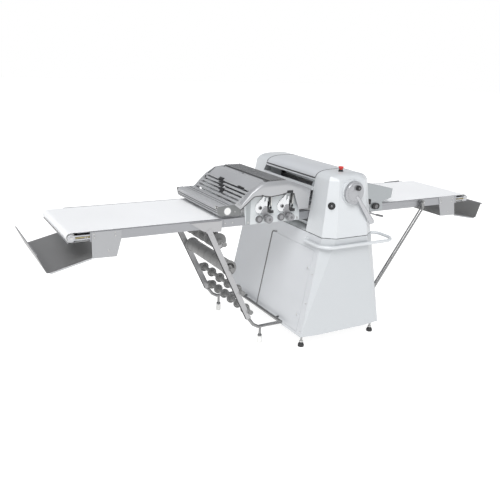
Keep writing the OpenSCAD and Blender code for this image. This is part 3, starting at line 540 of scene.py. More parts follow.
def head():
    dress(white_paint, "front_housing", "rear_housing")
    dress(side_paint, "head_roof")
    dress(panel_paint, "head_frame")
    dress(chrome, "lower_roller", "upper_roller")
    dress(dark_alloy, "upper_carriage", "lower_scrapers")

    # rubber seams where the roof meets the two covers
    roof = frame["nodes"]["head_roof"].data
    low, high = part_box("head_roof")
    outline = [p for p in hull_outline([(v.co.x, v.co.z) for v in roof.vertices]) if p[1] > low.z + 0.012]
    outline.sort(key=lambda p: p[0])
    centre = Vector(((low.x + high.x) / 2, 0, low.z))
    seams = Shape(seal)
    for y in (low.y, high.y):
        rings = []
        for x, z in outline:
            point = Vector((x, y, z))
            away = Vector((x - centre.x, 0, z - centre.z)).normalized()
            rings.append([point + away * h + Vector((0, w, 0))
                          for h, w in ((-0.003, -0.0045), (0.0012, -0.0035), (0.0012, 0.0035),
                                       (-0.003, 0.0045))])
        seams.skin(rings)
    for side in (-1, 1):
        edge_x = low.x if side < 0 else high.x
        seams.tube([Vector((edge_x + side * 0.0005, y, low.z + 0.0185)) for y in (low.y, high.y)], 0.0045,
                   0, 12)
    seams.done("roof_seams", MACHINE, "foot")
    lips = Shape(white_paint)
    for side in (-1, 1):
        edge_x = low.x if side < 0 else high.x
        lips.tube([Vector((edge_x - side * 0.003, y, low.z + 0.006)) for y in (low.y + 0.001,
                                                                               high.y - 0.001)],
                  0.0085, 0, 20)
    lips.done("roof_lips", MACHINE, "painted_white")
    strip = Shape(white_paint)
    line = [(-0.2015, 1.158), (-0.1935, 1.1865), (-0.1925, 1.1885), (-0.1915, 1.1880), (-0.1920, 1.1858),
            (-0.1995, 1.1575)]
    strip.plate(line, low.y + 0.001, high.y - 0.001, 0, 0.0004)
    strip.done("mouth_strip", MACHINE, "painted_white")
    cheeks = Shape(cheek_steel, zinc)
    for side_y in (-1, 1):
        a, b = sorted((side_y * 0.3425, side_y * 0.3440))
        for side in (-1, 1):
            cheeks.plate([(side * 0.206, 1.192), (side * 0.134, 1.184), (side * 0.134, 1.238),
                          (side * 0.184, 1.238)],
                         a, b, 0, 0.0005)
    cheeks.done("slot_cheeks", MACHINE, "stainless")

    lever_axis = PIVOT["gap_lever_turn"]
    disc_back = lever_axis.y + 0.012
    boss = Shape(white_paint)
    hub = Vector((lever_axis.x, disc_back, lever_axis.z))
    boss.lathe([(-0.045, 0.092), (-0.006, 0.0895), (-0.002, 0.088), (-0.0005, 0.085)], hub, OUT, 0, 64)
    boss.done("lever_boss", MACHINE, "painted_white")

    # gap lever: turned disc with a scale of plain ticks, and an arm with a ridge along its middle
    lever = Shape(cast_alloy, lever_alloy, seal_grey)
    lever.lathe([(0.0005, 0.079), (0.003, 0.0835), (0.016, 0.084), (0.0185, 0.0825), (0.019, 0.075),
                 (0.0215, 0.073), (0.0235, 0.070), (0.0235, 0.034), (0.027, 0.030), (0.028, 0.012)], hub,
                OUT, 0, 72)
    lever.lathe([(-0.2, 0.0149), (0.001, 0.0149)], hub, OUT, 0, 32)
    for k in range(19):
        angle = math.radians(120 + 10 * k)
        spoke = Vector((math.cos(angle), 0, math.sin(angle)))
        turn = Matrix.Rotation(-angle, 3, "Y")
        long_tick = 0.006 if k % 3 == 0 else 0.0035
        place = hub + OUT * 0.0236 + spoke * 0.063
        half = Vector((long_tick, 0.0004, 0.0007))
        lever.block(place - half, place + half, 2, 0, turn)
    direction = Vector((math.cos(math.radians(-52)), 0, math.sin(math.radians(-52))))
    side = Vector((-direction.z, 0, direction.x))
    rings = []
    for reach, width, low_y, edge_y, ridge_y in (
            (0.030, 0.010, 0.022, 0.025, 0.032), (0.045, 0.0115, 0.020, 0.025, 0.036),
            (0.120, 0.0145, 0.018, 0.024, 0.040), (0.220, 0.0195, 0.018, 0.024, 0.044),
            (0.285, 0.0235, 0.018, 0.025, 0.045), (0.300, 0.0215, 0.019, 0.025, 0.043),
            (0.305, 0.016, 0.021, 0.025, 0.038)):
        start = hub + direction * reach
        shape = ((-width, low_y), (-width, edge_y), (width * 0.05, ridge_y), (width * 0.30, ridge_y),
                 (width, edge_y), (width, low_y))
        rings.append([start + side * w + OUT * d for w, d in shape])
    lever.soften(lever.skin(rings, 1), 0.0015)
    lever.done("gap_lever_cast", "gap_lever", "cast", "gap_lever")

    stop = Shape(black_plastic, dark_alloy)
    stop_axis = PIVOT["stop_knob_turn"]
    base = Vector((stop_axis.x, disc_back - 0.0265, stop_axis.z))
    stop.lathe([(0, 0.016), (0.002, 0.0195), (0.013, 0.020), (0.017, 0.0185), (0.0185, 0.014)], base, OUT,
               0, 60, 10,
               0.0016)
    stop.lathe([(0.0175, 0.0075), (0.0192, 0.0075), (0.0198, 0.005)], base, OUT, 1, 28)
    stop.done("stop_knob_fluted", "stop_knob", "black_plastic", "stop_knob")

    selector = Shape(black_plastic, dark_alloy, pale_plastic)
    normal = AXIS["selector_turn"].normalized()
    seat = SELECTOR_SEAT + 0.0002
    base = PIVOT["selector_turn"] + normal * seat
    selector.lathe([(0, 0.020), (0.0015, 0.0225), (0.007, 0.023), (0.009, 0.0205)], base, normal, 0, 48)
    selector.lathe([(0.008, 0.0175), (0.018, 0.0165), (0.021, 0.0145), (0.0215, 0.010)], base, normal, 0,
                   60, 12, 0.0012)
    selector.lathe([(0.020, 0.0095), (0.0225, 0.0085), (0.0240, 0.0055), (0.0245, 0.002)], base, normal, 1,
                   32)
    selector.done("selector_knob_fluted", "selector_knob", "black_plastic", "selector_knob")
    bezel = Shape(black_plastic)
    bezel.lathe([(-0.004, 0.0282), (SELECTOR_SEAT - 0.0008, 0.0278), (SELECTOR_SEAT + 0.0001, 0.0262)],
                PIVOT["selector_turn"], normal, 0, 48)
    bezel.done("selector_bezel", MACHINE, "black_plastic")

    low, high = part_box("estop_base")
    centre = Vector(((low.x + high.x) / 2, (low.y + high.y) / 2, low.z))
    base = Shape(black_plastic, seal_grey)
    base.lathe([(-0.004, 0.0195), (0.001, 0.0195), (0.003, 0.0185)], centre, UP, 1, 40)
    base.lathe([(0, 0.0165), (0.003, 0.017), (0.012, 0.017), (0.0135, 0.0162), (0.0135, 0.0150),
                (0.0070, 0.0148)], centre, UP, 0, 40)
    base.done("estop_collar", MACHINE, "black_plastic", "estop_base")
    button = Shape(red_plastic, pale_plastic)
    button.lathe([(0.0142, 0.0085), (0.0165, 0.0135), (0.0250, 0.0150), (0.0285, 0.0190), (0.0300, 0.020),
                  (0.0350, 0.0198), (0.0372, 0.0180), (0.0384, 0.0120), (0.0388, 0.003)], centre, UP, 0, 48)
    for k in range(3):
        angle = 2 * math.pi * k / 3
        spoke = Vector((math.cos(angle), math.sin(angle), 0))
        mark = centre + UP * 0.0355 + spoke * 0.0125
        turn = Matrix.Rotation(angle + math.pi / 2, 3, "Z")
        button.block(mark - Vector((0.003, 0.0007, 0.001)), mark + Vector((0.003, 0.0007, 0.0006)), 1, 0,
                     turn)
    button.done("estop_mushroom", "estop_button", "red_plastic", "estop_button")


# ---------------------------------------------------------------- belts and tables

BELT_T = 0.002
CAP_R = 0.0305


def belt(name, body, node):
    """A belt loop with rounded edges, in the place of its CAD loop."""
    low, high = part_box(node)
    outer = (high.z - low.z) / 2
    centre_z = (high.z + low.z) / 2
    ends = (low.x + outer, high.x - outer)
    half = (high.y - low.y) / 2
    straight = max(8, int((ends[1] - ends[0]) / 0.03))
    path = [(ends[0] + (ends[1] - ends[0]) * i / straight, 1, 0) for i in range(straight)]
    path += [(ends[1], math.cos(math.pi * i / 12), math.sin(math.pi * i / 12)) for i in range(13)]
    path += [(ends[1] + (ends[0] - ends[1]) * i / straight, -1, 0) for i in range(1, straight)]
    path += [(ends[0], -math.cos(math.pi * i / 12), -math.sin(math.pi * i / 12)) for i in range(12)]
    section = []
    for y, depth in ((-half + 0.0007, 0.0), (0.0, 0.0), (half - 0.0007, 0.0), (half, 0.0006),
                     (half, BELT_T - 0.0006), (half - 0.0007, BELT_T), (-half + 0.0007, BELT_T),
                     (-half, BELT_T - 0.0006), (-half, 0.0006)):
        section.append((y, depth))
    shape = Shape(belt_cloth)
    rings = []
    for x, up, along in path:
        rings.append([Vector((x + along * (outer - d), y, centre_z + up * (outer - d))) for y, d in section])
    shape.skin(rings, 0, loop=True)
    shape.done(name, body, "belt", node)


def tensioner(shape, end_x, rail_x, side_y, roller_z):
    """Bearing cap, slotted carrier and stretching screw at one corner of a table."""
    facing = Vector((0, side_y, 0))
    out_y = side_y * 0.338
    side_x = 1 if end_x > rail_x else -1
    shape.lathe([(-0.0105, CAP_R - 0.006), (-0.0035, CAP_R - 0.006), (-0.001, CAP_R - 0.0075),
                 (0.0, CAP_R - 0.010),
                 (0.0, 0.012)], Vector((end_x, out_y, roller_z)), facing, 0, 48)
    shape.lathe([(-0.002, 0.0098), (0.0035, 0.0098), (0.0045, 0.008)], Vector((end_x, out_y, roller_z)),
                facing, 1, 28)
    for dz in (-0.011, 0.011):
        a = Vector((rail_x - side_x * 0.03, out_y - side_y * 0.008, roller_z + dz - 0.004))
        b = Vector((end_x - side_x * 0.015, out_y - side_y * 0.0005, roller_z + dz + 0.004))
        shape.block([min(a[i], b[i]) for i in range(3)], [max(a[i], b[i]) for i in range(3)], 0, 0.001)
    start = Vector((rail_x - side_x * 0.02, out_y - side_y * 0.004, roller_z))
    end = Vector((end_x - side_x * 0.02, out_y - side_y * 0.004, roller_z))
    count = 40
    thread = [(i * (end - start).length / count, 0.0034 if i % 2 else 0.0040) for i in range(count + 1)]
    shape.lathe(thread, start, end - start, 2, 16)
    for share in (0.30, 0.42):
        nut = start.lerp(end, share)
        shape.lathe([(0, 0.0068), (0.0045, 0.0068)], nut, end - start, 1, 6)


GUSSET = {"left": [(-1.8520, 1.0028), (-1.6595, 1.0018), (-1.6615, 0.941), (-1.6935, 0.8285),
                   (-1.8520, 0.8325)],
          "right": [(1.1335, 1.0070), (1.3145, 1.0130), (1.3540, 0.8375), (1.1835, 0.8415)]}
TRAY_LINE = {"left": [(-1.854, 0.836), (-2.112, 0.7725)], "right": [(1.357, 0.8355), (1.610, 0.7865)]}


def tables():
    dress(rail_steel, "left_table_frame", "right_table_frame")
    dress(tray_steel, "left_tray", "right_tray")
    dress(zinc, "left_end_roller", "left_drive_roller", "right_end_roller", "right_pivot_roller",
          "right_drive_roller")
    dress(cheek_steel, "right_cheeks")
    dress(tube_steel, "right_guard", edge=0)

    belt("left_belt_loop", MACHINE, "left_belt")
    belt("right_belt_loop", "right_table", "right_belt")
    belt("inner_belt_loop", MACHINE, "right_inner_belt")

    roller_z = PIVOT["left_end_roller_spin"].z
    for side, body, node in (("left", MACHINE, "left_tensioners"),
                             ("right", "right_table", "right_tensioners")):
        end_x = PIVOT[side + "_end_roller_spin"].x
        rail_x = end_x + (-0.121 if side == "right" else 0.114)
        shape = Shape(lever_alloy, zinc, brass, gusset_steel)
        for side_y in (-1, 1):
            tensioner(shape, end_x, rail_x, side_y, roller_z)
        out = -1 if side == "left" else 1
        shape.tube([Vector((end_x + out * 0.0225, y, roller_z - 0.0270)) for y in (-0.3300, 0.3300)],
                   0.0036, 3, 14)
        shape.done(side + "_belt_stretchers", body, "stainless", node)

    # bolts of the gussets, the rails and the cheeks
    bolts = Shape(zinc)
    for side_y in (-1, 1):
        facing = Vector((0, side_y, 0))
        out_y = side_y * 0.344
        for x, z in ((-1.836, 0.990), (-1.836, 0.968), (-1.700, 0.990), (-1.700, 0.968), (-1.745, 0.872)):
            bolts.screw(at(x, out_y, z), facing, 0.006)
        for x in (-0.918, -0.860):
            bolts.screw(at(x, out_y, 0.972), facing, 0.006)
    bolts.done("left_table_screws", MACHINE, "stainless")
    bolts = Shape(zinc)
    for side_y in (-1, 1):
        facing = Vector((0, side_y, 0))
        for x, z in ((1.170, 0.985), (1.170, 0.962), (1.300, 0.985), (1.300, 0.962), (1.268, 0.872)):
            bolts.screw(at(x, side_y * 0.344, z), facing, 0.006)
        bolts.bolt(at(0.929, side_y * 0.3755, 0.985), facing, 0.008)
    bolts.done("right_table_screws", "right_table", "stainless")

    # folded hems along the catch trays' edges
    for side, body in (("left", MACHINE), ("right", "right_table")):
        low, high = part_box(side + "_tray")
        ahead = -1 if side == "left" else 1
        tip = corner(side + "_tray", lambda v: ahead * v.x + v.z * 0.1)
        hem = Shape(rail_steel)
        hem.tube([Vector((tip.x - ahead * 0.004, y, tip.z - 0.003)) for y in (low.y + 0.002, high.y - 0.002)],
                 0.0038, 0, 16)
        hem.done(side + "_tray_hem", body, "stainless")
        skins = Shape(gusset_steel, hood_steel)
        outline = GUSSET[side]
        rim = TRAY_LINE[side]
        for side_y in (-1, 1):
            a, b = sorted((side_y * 0.3406, side_y * 0.3450))
            skins.plate(outline, a, b, 0, 0.0003)
            edge_path = [at(x, side_y * 0.3415, z - 0.0045) for x, z in rim]
            skins.tube(rounded(edge_path, 0.012, 5), 0.0052, 1, 16)
        skins.done(side + "_tray_skins", body, "stainless")

    # plates, cap and pivot cover on the cheek beside the fold
    trim = Shape(black_plastic, dark_alloy)
    pivot = PIVOT["right_table_fold"]
    trim.block(at(0.328, -0.361, 1.010), at(0.371, -0.3452, 1.050), 0, 0.003)
    cover_y = -0.3500
    oval = []
    for k in range(40):
        angle = 2 * math.pi * k / 40
        oval.append((0.430 + 0.012 * (1 if math.cos(angle) > 0 else -1) + 0.024 * math.cos(angle),
                     pivot.z + 0.024 * math.sin(angle) + 0.015))
    trim.plate(oval, cover_y - 0.010, cover_y, 0, 0.002)
    trim.lathe([(0, 0.0165), (0.0025, 0.0165), (0.004, 0.0145)],
               Vector((pivot.x, cover_y - 0.010, pivot.z + 0.015)),
               OUT, 1, 36)
    trim.done("pivot_trim", MACHINE, "black_plastic")

    latch = Shape(grey_alloy, dark_alloy)
    start = PIVOT["table_latch_turn"]
    latch.lathe([(-0.0085, 0.0105), (-0.0075, 0.0115), (0.0045, 0.0115), (0.006, 0.010)],
                Vector((start.x, -0.354, start.z)), OUT, 0, 36)
    end = at(0.512, -0.354, 0.900)
    begin = Vector((start.x, -0.354, start.z))
    bend = begin.lerp(end, 0.3) + Vector((0, 0, -0.004))
    latch.tube(rounded([begin, bend, end], 0.02), 0.0060, 0)
    along = (end - bend).normalized()
    latch.lathe([(-0.075, 0.0065), (-0.071, 0.0080), (-0.004, 0.0084), (0.004, 0.0066), (0.007, 0.003)],
                end, along,
                1, 28)
    latch.done("table_latch_lever", "table_latch", "black_plastic", "table_latch")

    # the prop: bent tube on each side and a cross tube with end caps
    prop = Shape(tube_steel, black_plastic)
    pin = PIVOT["right_strut_swing"]
    low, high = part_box("right_strut")
    tube_r = 0.016
    prop_y = 0.364
    foot = Vector((low.x + tube_r, 0, low.z + tube_r))
    for side_y in (-1, 1):
        y = side_y * prop_y
        top = Vector((pin.x, y, pin.z))
        knee = at(0.934, y, 0.940)
        rest = Vector((foot.x, y, foot.z))
        prop.tube(rounded([top, knee, rest], 0.03), tube_r, 0, 28)
        ring = [(0.0086, -0.0068), (0.0195, -0.0068), (0.0205, -0.0055), (0.0205, 0.0055), (0.0195, 0.0068),
                (0.0086, 0.0068)]
        prop.skin([[top + Vector((math.cos(a) * r, d, math.sin(a) * r)) for r, d in ring]
                   for a in [2 * math.pi * k / 36 for k in range(36)]], 0, loop=True)
        prop.lathe([(0, tube_r), (0.003, tube_r), (0.005, tube_r - 0.002)],
                   Vector((foot.x, side_y * (prop_y + tube_r - 0.005), foot.z)), Vector((0, side_y, 0)), 1,
                   28)
    prop.tube([Vector((foot.x, y, foot.z)) for y in (-0.372, 0.372)], tube_r, 0, 28)
    prop.done("right_prop", "right_strut", "stainless", "right_strut")


# ---------------------------------------------------------------- cutting station

HOOD = (
    # flush with the top sheets, on the outer face, at the lower edge
    ((-0.806, 1.112), (-0.822, 1.090), (-0.822, 1.067)),
    ((-0.764, 1.157), (-0.782, 1.129), (-0.768, 1.111)),
    ((-0.723, 1.196), (-0.742, 1.166), (-0.715, 1.155)),
    ((-0.688, 1.219), (-0.702, 1.190), (-0.678, 1.157)),
    ((-0.654, 1.240), (-0.662, 1.211), (-0.641, 1.157)),
    ((-0.625, 1.2445), (-0.631, 1.2155), (-0.610, 1.150)),
    ((-0.599, 1.246), (-0.600, 1.218), (-0.578, 1.146)),
    ((-0.517, 1.249), (-0.519, 1.221), (-0.525, 1.151)),
    ((-0.435, 1.249), (-0.438, 1.220), (-0.471, 1.157)),
    ((-0.376, 1.231), (-0.384, 1.202), (-0.428, 1.172)),
    ((-0.318, 1.212), (-0.330, 1.183), (-0.379, 1.152)),
    ((-0.270, 1.194), (-0.282, 1.165), (-0.357, 1.093)),
    ((-0.226, 1.176), (-0.236, 1.146), (-0.335, 1.036)),
    ((-0.229, 1.140), (-0.240, 1.112), (-0.318, 1.035)),
    ((-0.238, 1.085), (-0.246, 1.070), (-0.287, 1.035)),
    ((-0.246, 1.038), (-0.250, 1.037), (-0.254, 1.035)))


def hood(side_y):
    """One side hood: a sheet that rolls from the station's top over to its side."""
    shape = Shape(hood_steel)
    inner_y, outer_y, sheet = 0.3455, 0.383, 0.0028
    rings = []
    for top, face, lower in HOOD:
        top, face, lower = (Vector((x, 0, z)) for x, z in (top, face, lower))
        bend = top.lerp(face, 0.15)
        settle = face.lerp(lower, 0.15)
        outer = []
        for i in range(9):
            t = i / 8
            spot = top * (1 - t) ** 2 + bend * 2 * t * (1 - t) + settle * t ** 2
            y = inner_y * (1 - t) ** 2 + outer_y * (2 * t * (1 - t) + t ** 2)
            outer.append((spot, y, t))
        outer.append((lower, outer_y, 1.0))
        inward = (Vector((-0.56, 0, 1.034)) - top).normalized()
        inner = [(spot + inward * sheet * (1 - t), y - sheet * t, t) for spot, y, t in outer[::-1]]
        rings.append([at(spot.x, side_y * y, spot.z) for spot, y, t in outer + inner])
    shape.skin(rings)
    return shape


def station():
    dress(panel_paint, "station_frames")
    dress(sheet_steel, "station_top", edge=0.0005)
    dress(guard_steel, "guard_panel", edge=0.0005)
    near = hood(-1)
    far = hood(1)
    far_mesh = bpy.data.meshes.new("far_half")
    far.bm.to_mesh(far_mesh)
    far.bm.free()
    near.bm.from_mesh(far_mesh)
    bmesh.ops.recalc_face_normals(near.bm, faces=near.bm.faces)
    near.done("side_hoods_rolled", MACHINE, "stainless", "station_hoods")

    # rubber edging under each side hood, its latch blocks, and the small blocks that swing with each unit
    belly = [(-0.822, 1.068)] + [lower for top, face, lower in HOOD[1:11]]
    trims = Shape(seal, black_plastic, pale_plastic)
    unit_stops = [Shape(seal, black_plastic, pale_plastic) for unit in (1, 2)]
    for side_y in (-1, 1):
        def span(a, b):
            return sorted((side_y * a, side_y * b))

        y = side_y * 0.3812
        trims.tube(rounded([at(x, y, z - 0.001) for x, z in belly], 0.012, 4), 0.0040, 0, 12)
        for x0, x1, z0, z1 in ((-0.446, -0.392, 1.160, 1.182), (-0.657, -0.640, 1.150, 1.164),
                               (-0.478, -0.462, 1.150, 1.164)):
            ya, yb = span(0.374, 0.3858 if x0 > -0.45 else 0.3845)
            trims.block(at(x0, ya, z0), at(x1, yb, z1), 1, 0.004)
        for unit, pin_x in enumerate(CUTTER_X):
            stops = unit_stops[unit]
            ya, yb = span(0.3455, 0.3560)
            stops.block(at(pin_x + 0.015, ya, 1.079), at(pin_x + 0.0225, yb, 1.150), 1, 0.002)
            stops.block(at(pin_x + 0.026, ya, 1.070), at(pin_x + 0.040, yb, 1.144), 2, 0.003)
            stops.screw(at(pin_x + 0.034, side_y * 0.345, 1.056), Vector((0, side_y, 0)), 0.0090, 1)
            ya, yb = span(0.3455, 0.3640)
            stops.block(at(pin_x + 0.004, ya, 1.026), at(pin_x + 0.028, yb, 1.050), 1, 0.004)
            stops.block(at(pin_x + 0.018, ya, 1.018), at(pin_x + 0.052, yb, 1.038), 1, 0.004)
    trims.done("hood_trims", MACHINE, "black_plastic")
    for unit in (1, 2):
        unit_stops[unit - 1].done("unit_stops_%d" % unit, "cutter_arm_%d" % unit, "black_plastic")

    edging = Shape(cheek_steel)
    for side_y in (-1, 1):
        a, b = sorted((side_y * 0.3451, side_y * 0.3462))
        edging.plate([(-0.7535, 0.9445), (-0.7200, 0.9445), (-0.7200, 1.1400), (-0.7535, 1.1160)], a, b, 0,
                     0.0004)
    edging.done("station_edging", MACHINE, "painted_grey")

    caps = Shape(dark_alloy, grey_alloy)
    for side_y in (-1, 1):
        facing = Vector((0, side_y, 0))
        for pin_x in CUTTER_X:
            base = at(pin_x - 0.067, side_y * 0.3570, PIVOT["cutter_arm_1_swing"].z)
            caps.lathe([(-0.001, 0.0265), (0.010, 0.0275), (0.0135, 0.0260), (0.0150, 0.0220)], base,
                       facing, 0, 44)
            caps.lathe([(0.0145, 0.0165), (0.0165, 0.0150), (0.0170, 0.0080)], base, facing, 1, 36)
    caps.done("unit_caps", MACHINE, "cast")

    screws = Shape(zinc)
    for side_y in (-1, 1):
        for x in (-0.735, -0.320):
            screws.bolt(at(x, side_y * 0.345, 0.962), Vector((0, side_y, 0)), 0.006)
    screws.done("station_screws", MACHINE, "stainless")

    # station top: raised ribs, with flat dark strips between them painted as the shade in the grooves
    grooves = Shape(seal, guard_steel)
    low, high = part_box("station_top")
    for i in range(6):
        x = -0.580 + 0.0245 * i
        grooves.block(at(x, low.y + 0.004, high.z - 0.002), at(x + 0.0060, high.y - 0.004, high.z + 0.0006),
                      0, 0.0004)
        grooves.block(at(x + 0.0095, low.y + 0.004, high.z - 0.002),
                      at(x + 0.0180, high.y - 0.004, high.z + 0.0030),
                      1, 0.0012)
    grooves.done("top_grooves", MACHINE, "foot")

    # guard: plain disc on each cheek, pale pads at the beam's ends painted as the highlight on its end corners,
    # ridges along the beam with dark strips beside them painted as the shade in its grooves, dark post inside
    fittings = Shape(black_plastic, pale_plastic, zinc, cast_alloy, seal)
    low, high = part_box("guard_panel")
    for side_y in (-1, 1):
        facing = Vector((0, side_y, 0))
        side = high.y
        disc = at(-0.900, side_y * side, 1.056)
        fittings.lathe([(-0.001, 0.0285), (0.0007, 0.0285), (0.0013, 0.0278)], disc, facing, 3, 48)
        fittings.lathe([(0, 0.0245), (0.0016, 0.0245), (0.0020, 0.0238)], disc, facing, 1, 48)
        ya, yb = sorted((side_y * (side - 0.016), side_y * (side + 0.0025)))
        # pale pad on the beam's end corner, painted as the highlight there
        fittings.block(at(-0.9880, ya, 1.080), at(-0.9760, yb, 1.0995), 1, 0.0040)
        for x, z in ((-0.842, 1.048), (-0.815, 1.098), (-0.748, 1.158)):
            fittings.screw(at(x, side_y * side, z), facing, 0.0042, 2)
    reach = high.y - 0.004
    ridges = Shape(guard_steel, end_steel)
    for x, z in ((-0.870, 1.0925), (-0.893, 1.0945), (-0.921, 1.0970), (-0.944, 1.0990)):
        ridges.tube([at(x, y, z) for y in (-reach, reach)], 0.0034, 0, 12)
    for x, z in ((-0.9815, 1.078), (-0.9775, 1.060), (-0.9735, 1.042)):
        ridges.tube([at(x, y, z) for y in (-reach, reach)], 0.0034, 0, 12)
    for side_y in (-1, 1):
        a, b = sorted((side_y * (high.y + 0.0002), side_y * (high.y + 0.0010)))
        ridges.plate([(-0.9875, 1.0935), (-0.8660, 1.0995), (-0.8465, 1.0975), (-0.7945, 1.0600),
                      (-0.7965, 1.0185),
                      (-0.9545, 1.0235), (-0.9775, 1.0440)], a, b, 1, 0.0003)
    ridges.done("guard_ridges", "station_guard", "stainless")
    liner = Shape(guard_steel)
    for side_y in (-1, 1):
        a, b = sorted((side_y * 0.3345, side_y * 0.3365))
        liner.plate([(-0.8650, 1.0860), (-0.8460, 1.0830), (-0.7215, 1.1815), (-0.7050, 1.1740),
                     (-0.7880, 1.0900),
                     (-0.8300, 1.0500), (-0.8560, 1.0620)], a, b, 0, 0.0003)
    liner.done("guard_liners", "station_guard", "stainless")
    post = Shape(black_plastic)
    for x, y, z, reach_y in ((-0.716, 0.116, 1.1890, 0.034), (-0.737, 0.074, 1.1725, 0.034),
                             (-0.758, 0.031, 1.1560, 0.034), (-0.779, -0.011, 1.1390, 0.034),
                             (-0.793, -0.036, 1.1280, 0.024)):
        tilt = Matrix.Rotation(math.radians(-38.3), 3, "Y")
        post.block(at(x - 0.0125, y - reach_y, z - 0.004), at(x + 0.0125, y + reach_y, z + 0.0045), 0,
                   0.0025, tilt)
    for x, y, z, reach_y in ((-0.721, -0.176, 1.1865, 0.020), (-0.722, -0.220, 1.1855, 0.024),
                             (-0.743, 0.335, 1.1700, 0.006)):
        post.block(at(x - 0.007, y - reach_y, z - 0.003), at(x + 0.007, y + reach_y, z + 0.0045), 0, 0.002)
    post.done("guard_post", "station_guard", "black_plastic")
    # flat dark strips in the beam's grooves, painted as the shade there
    for (x0, z0), (x1, z1) in (((-0.880, 1.0938), (-0.874, 1.0933)), ((-0.914, 1.0964), (-0.908, 1.0959)),
                               ((-0.9800, 1.0685), (-0.9786, 1.0625)),
                               ((-0.9762, 1.0525), (-0.9750, 1.0475))):
        out = 0.0008
        fittings.plate([(x0, z0), (x1, z1), (x1, z1 + out if z1 > 1.08 else z1), (x0, z0 + out)]
                       if z0 > 1.08 else [(x0 - out, z0), (x1 - out, z1), (x1, z1), (x0, z0)],
                       -reach, reach, 4, 0)
    fittings.done("guard_fittings", "station_guard", "stainless")

    for unit in (1, 2):
        cutter(unit)


CUTTER_X = [PIVOT["cutter_arm_%d_swing" % unit].x - HEAD_X for unit in (1, 2)]


def cutter(unit):
    """One cutting unit: bright swing plates, cutting roller and pressure knobs."""
    name = "cutter_arm_%d" % unit
    pin = PIVOT[name + "_swing"]
    axle = PIVOT["cutting_roller_%d_spin" % unit]
    ax, az = axle.x - HEAD_X, axle.z
    px, pz = pin.x - HEAD_X, pin.z
    bulb = []
    for k in range(25):
        angle = math.radians(120 + 200 * k / 24)
        bulb.append((ax + 0.042 * math.cos(angle), az + 0.042 * math.sin(angle)))
    tear = [(ax + 0.034, az + 0.082), (ax + 0.022, az + 0.082), (ax + 0.004, az + 0.062)] + bulb
    tear += [(ax + 0.050, az - 0.006), (ax + 0.060, az + 0.012), (ax + 0.060, az + 0.070),
             (ax + 0.047, az + 0.074),
             (ax + 0.043, az + 0.046), (ax + 0.038, az + 0.042), (ax + 0.033, az + 0.046)]
    link = [(ax + 0.030, az + 0.006), (ax + 0.050, az + 0.010), (ax + 0.058, az - 0.006),
            (px + 0.022, pz + 0.012),
            (px + 0.024, pz - 0.008), (px + 0.012, pz - 0.021), (px - 0.010, pz - 0.020),
            (px - 0.026, pz - 0.002),
            (ax + 0.010, az - 0.036)]
    arm = Shape(bright_alloy, grey_alloy, black_plastic)
    for side_y in (-1, 1):
        facing = Vector((0, side_y, 0))

        def span(a, b):
            return sorted((side_y * a, side_y * b))

        arm.plate(tear, *span(0.3462, 0.3520), 0, 0.0022, 3)
        arm.plate(link, *span(0.3515, 0.3568), 1, 0.0015)
        arm.lathe([(0, 0.0135), (0.0045, 0.0135), (0.0060, 0.0120), (0.0060, 0.0105)],
                  Vector((axle.x, side_y * 0.352, axle.z)), facing, 1, 36)
        arm.lathe([(0, 0.0102), (0.0068, 0.0102), (0.0072, 0.009)],
                  Vector((axle.x, side_y * 0.352, axle.z)), facing,
                  2, 28)
    arm.done(name + "_plates", name, "cast", name)

    roller = Shape(bright_alloy, pale_plastic)
    half = 0.320
    count = 5 if unit == 1 else 9
    profile = [(-0.3515, 0.0098), (-half - 0.001, 0.0098), (-half, 0.022)]
    pitch = 2 * (half - 0.030) / (count - 1)
    for k in range(count):
        y = -half + 0.030 + pitch * k
        profile += [(y - 0.004, 0.022), (y - 0.003, 0.026), (y - 0.002, 0.040), (y - 0.0003, 0.050),
                    (y + 0.0003, 0.050), (y + 0.002, 0.040), (y + 0.003, 0.026), (y + 0.004, 0.022)]
    profile += [(half, 0.022), (half + 0.001, 0.0098), (0.3515, 0.0098)]
    centre = Vector((axle.x, 0, axle.z))
    roller.lathe(profile, centre, Vector((0, 1, 0)), 0, 56)
    roller.done("cutting_roller_%d_turned" % unit, "cutting_roller_%d" % unit, "white_plastic",
                "cutting_roller_%d" % unit)

    knob = Shape(grey_alloy, bright_alloy, dark_alloy)
    low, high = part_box("pressure_knob_%d" % unit)
    length = -0.360 - low.y
    radius = (high.x - low.x) / 2 + 0.002
    base = Vector((pin.x, -0.360, pin.z))
    knob.lathe([(-0.0025, 0.0085), (-0.0025, 0.016), (0.0, 0.0165), (0.001, radius - 0.004),
                (0.003, radius - 0.001),
                (0.006, radius), (0.013, radius), (0.0145, radius - 0.003), (0.0175, radius - 0.003),
                (0.019, radius), (length * 0.84, radius), (length - 0.003, radius - 0.0015),
                (length - 0.001, radius - 0.004)], base, OUT, 0, 96, 16, 0.0013)
    knob.lathe([(length - 0.0035, radius - 0.003), (length - 0.001, radius - 0.0035),
                (length, radius - 0.006),
                (length - 0.0015, radius - 0.009), (length - 0.002, 0.0115)], base, OUT, 0, 56)
    knob.lathe([(length - 0.0030, 0.0115), (length - 0.0008, 0.0105), (length - 0.0004, 0.006)], base, OUT,
               2, 32)
    knob.lathe([(0.0140, radius - 0.0028), (0.0145, radius - 0.0022), (0.0175, radius - 0.0022),
                (0.0180, radius - 0.0028)], base, OUT, 1, 56)
    knob.done("pressure_knob_%d_fluted" % unit, "pressure_knob_%d" % unit, "cast", "pressure_knob_%d" % unit)


# ---------------------------------------------------------------- roller magazine

CHANNEL_LOW = (-0.694, 0.214)
CHANNEL_HIGH = (-1.046, 0.938)
RACK_Y = 0.346


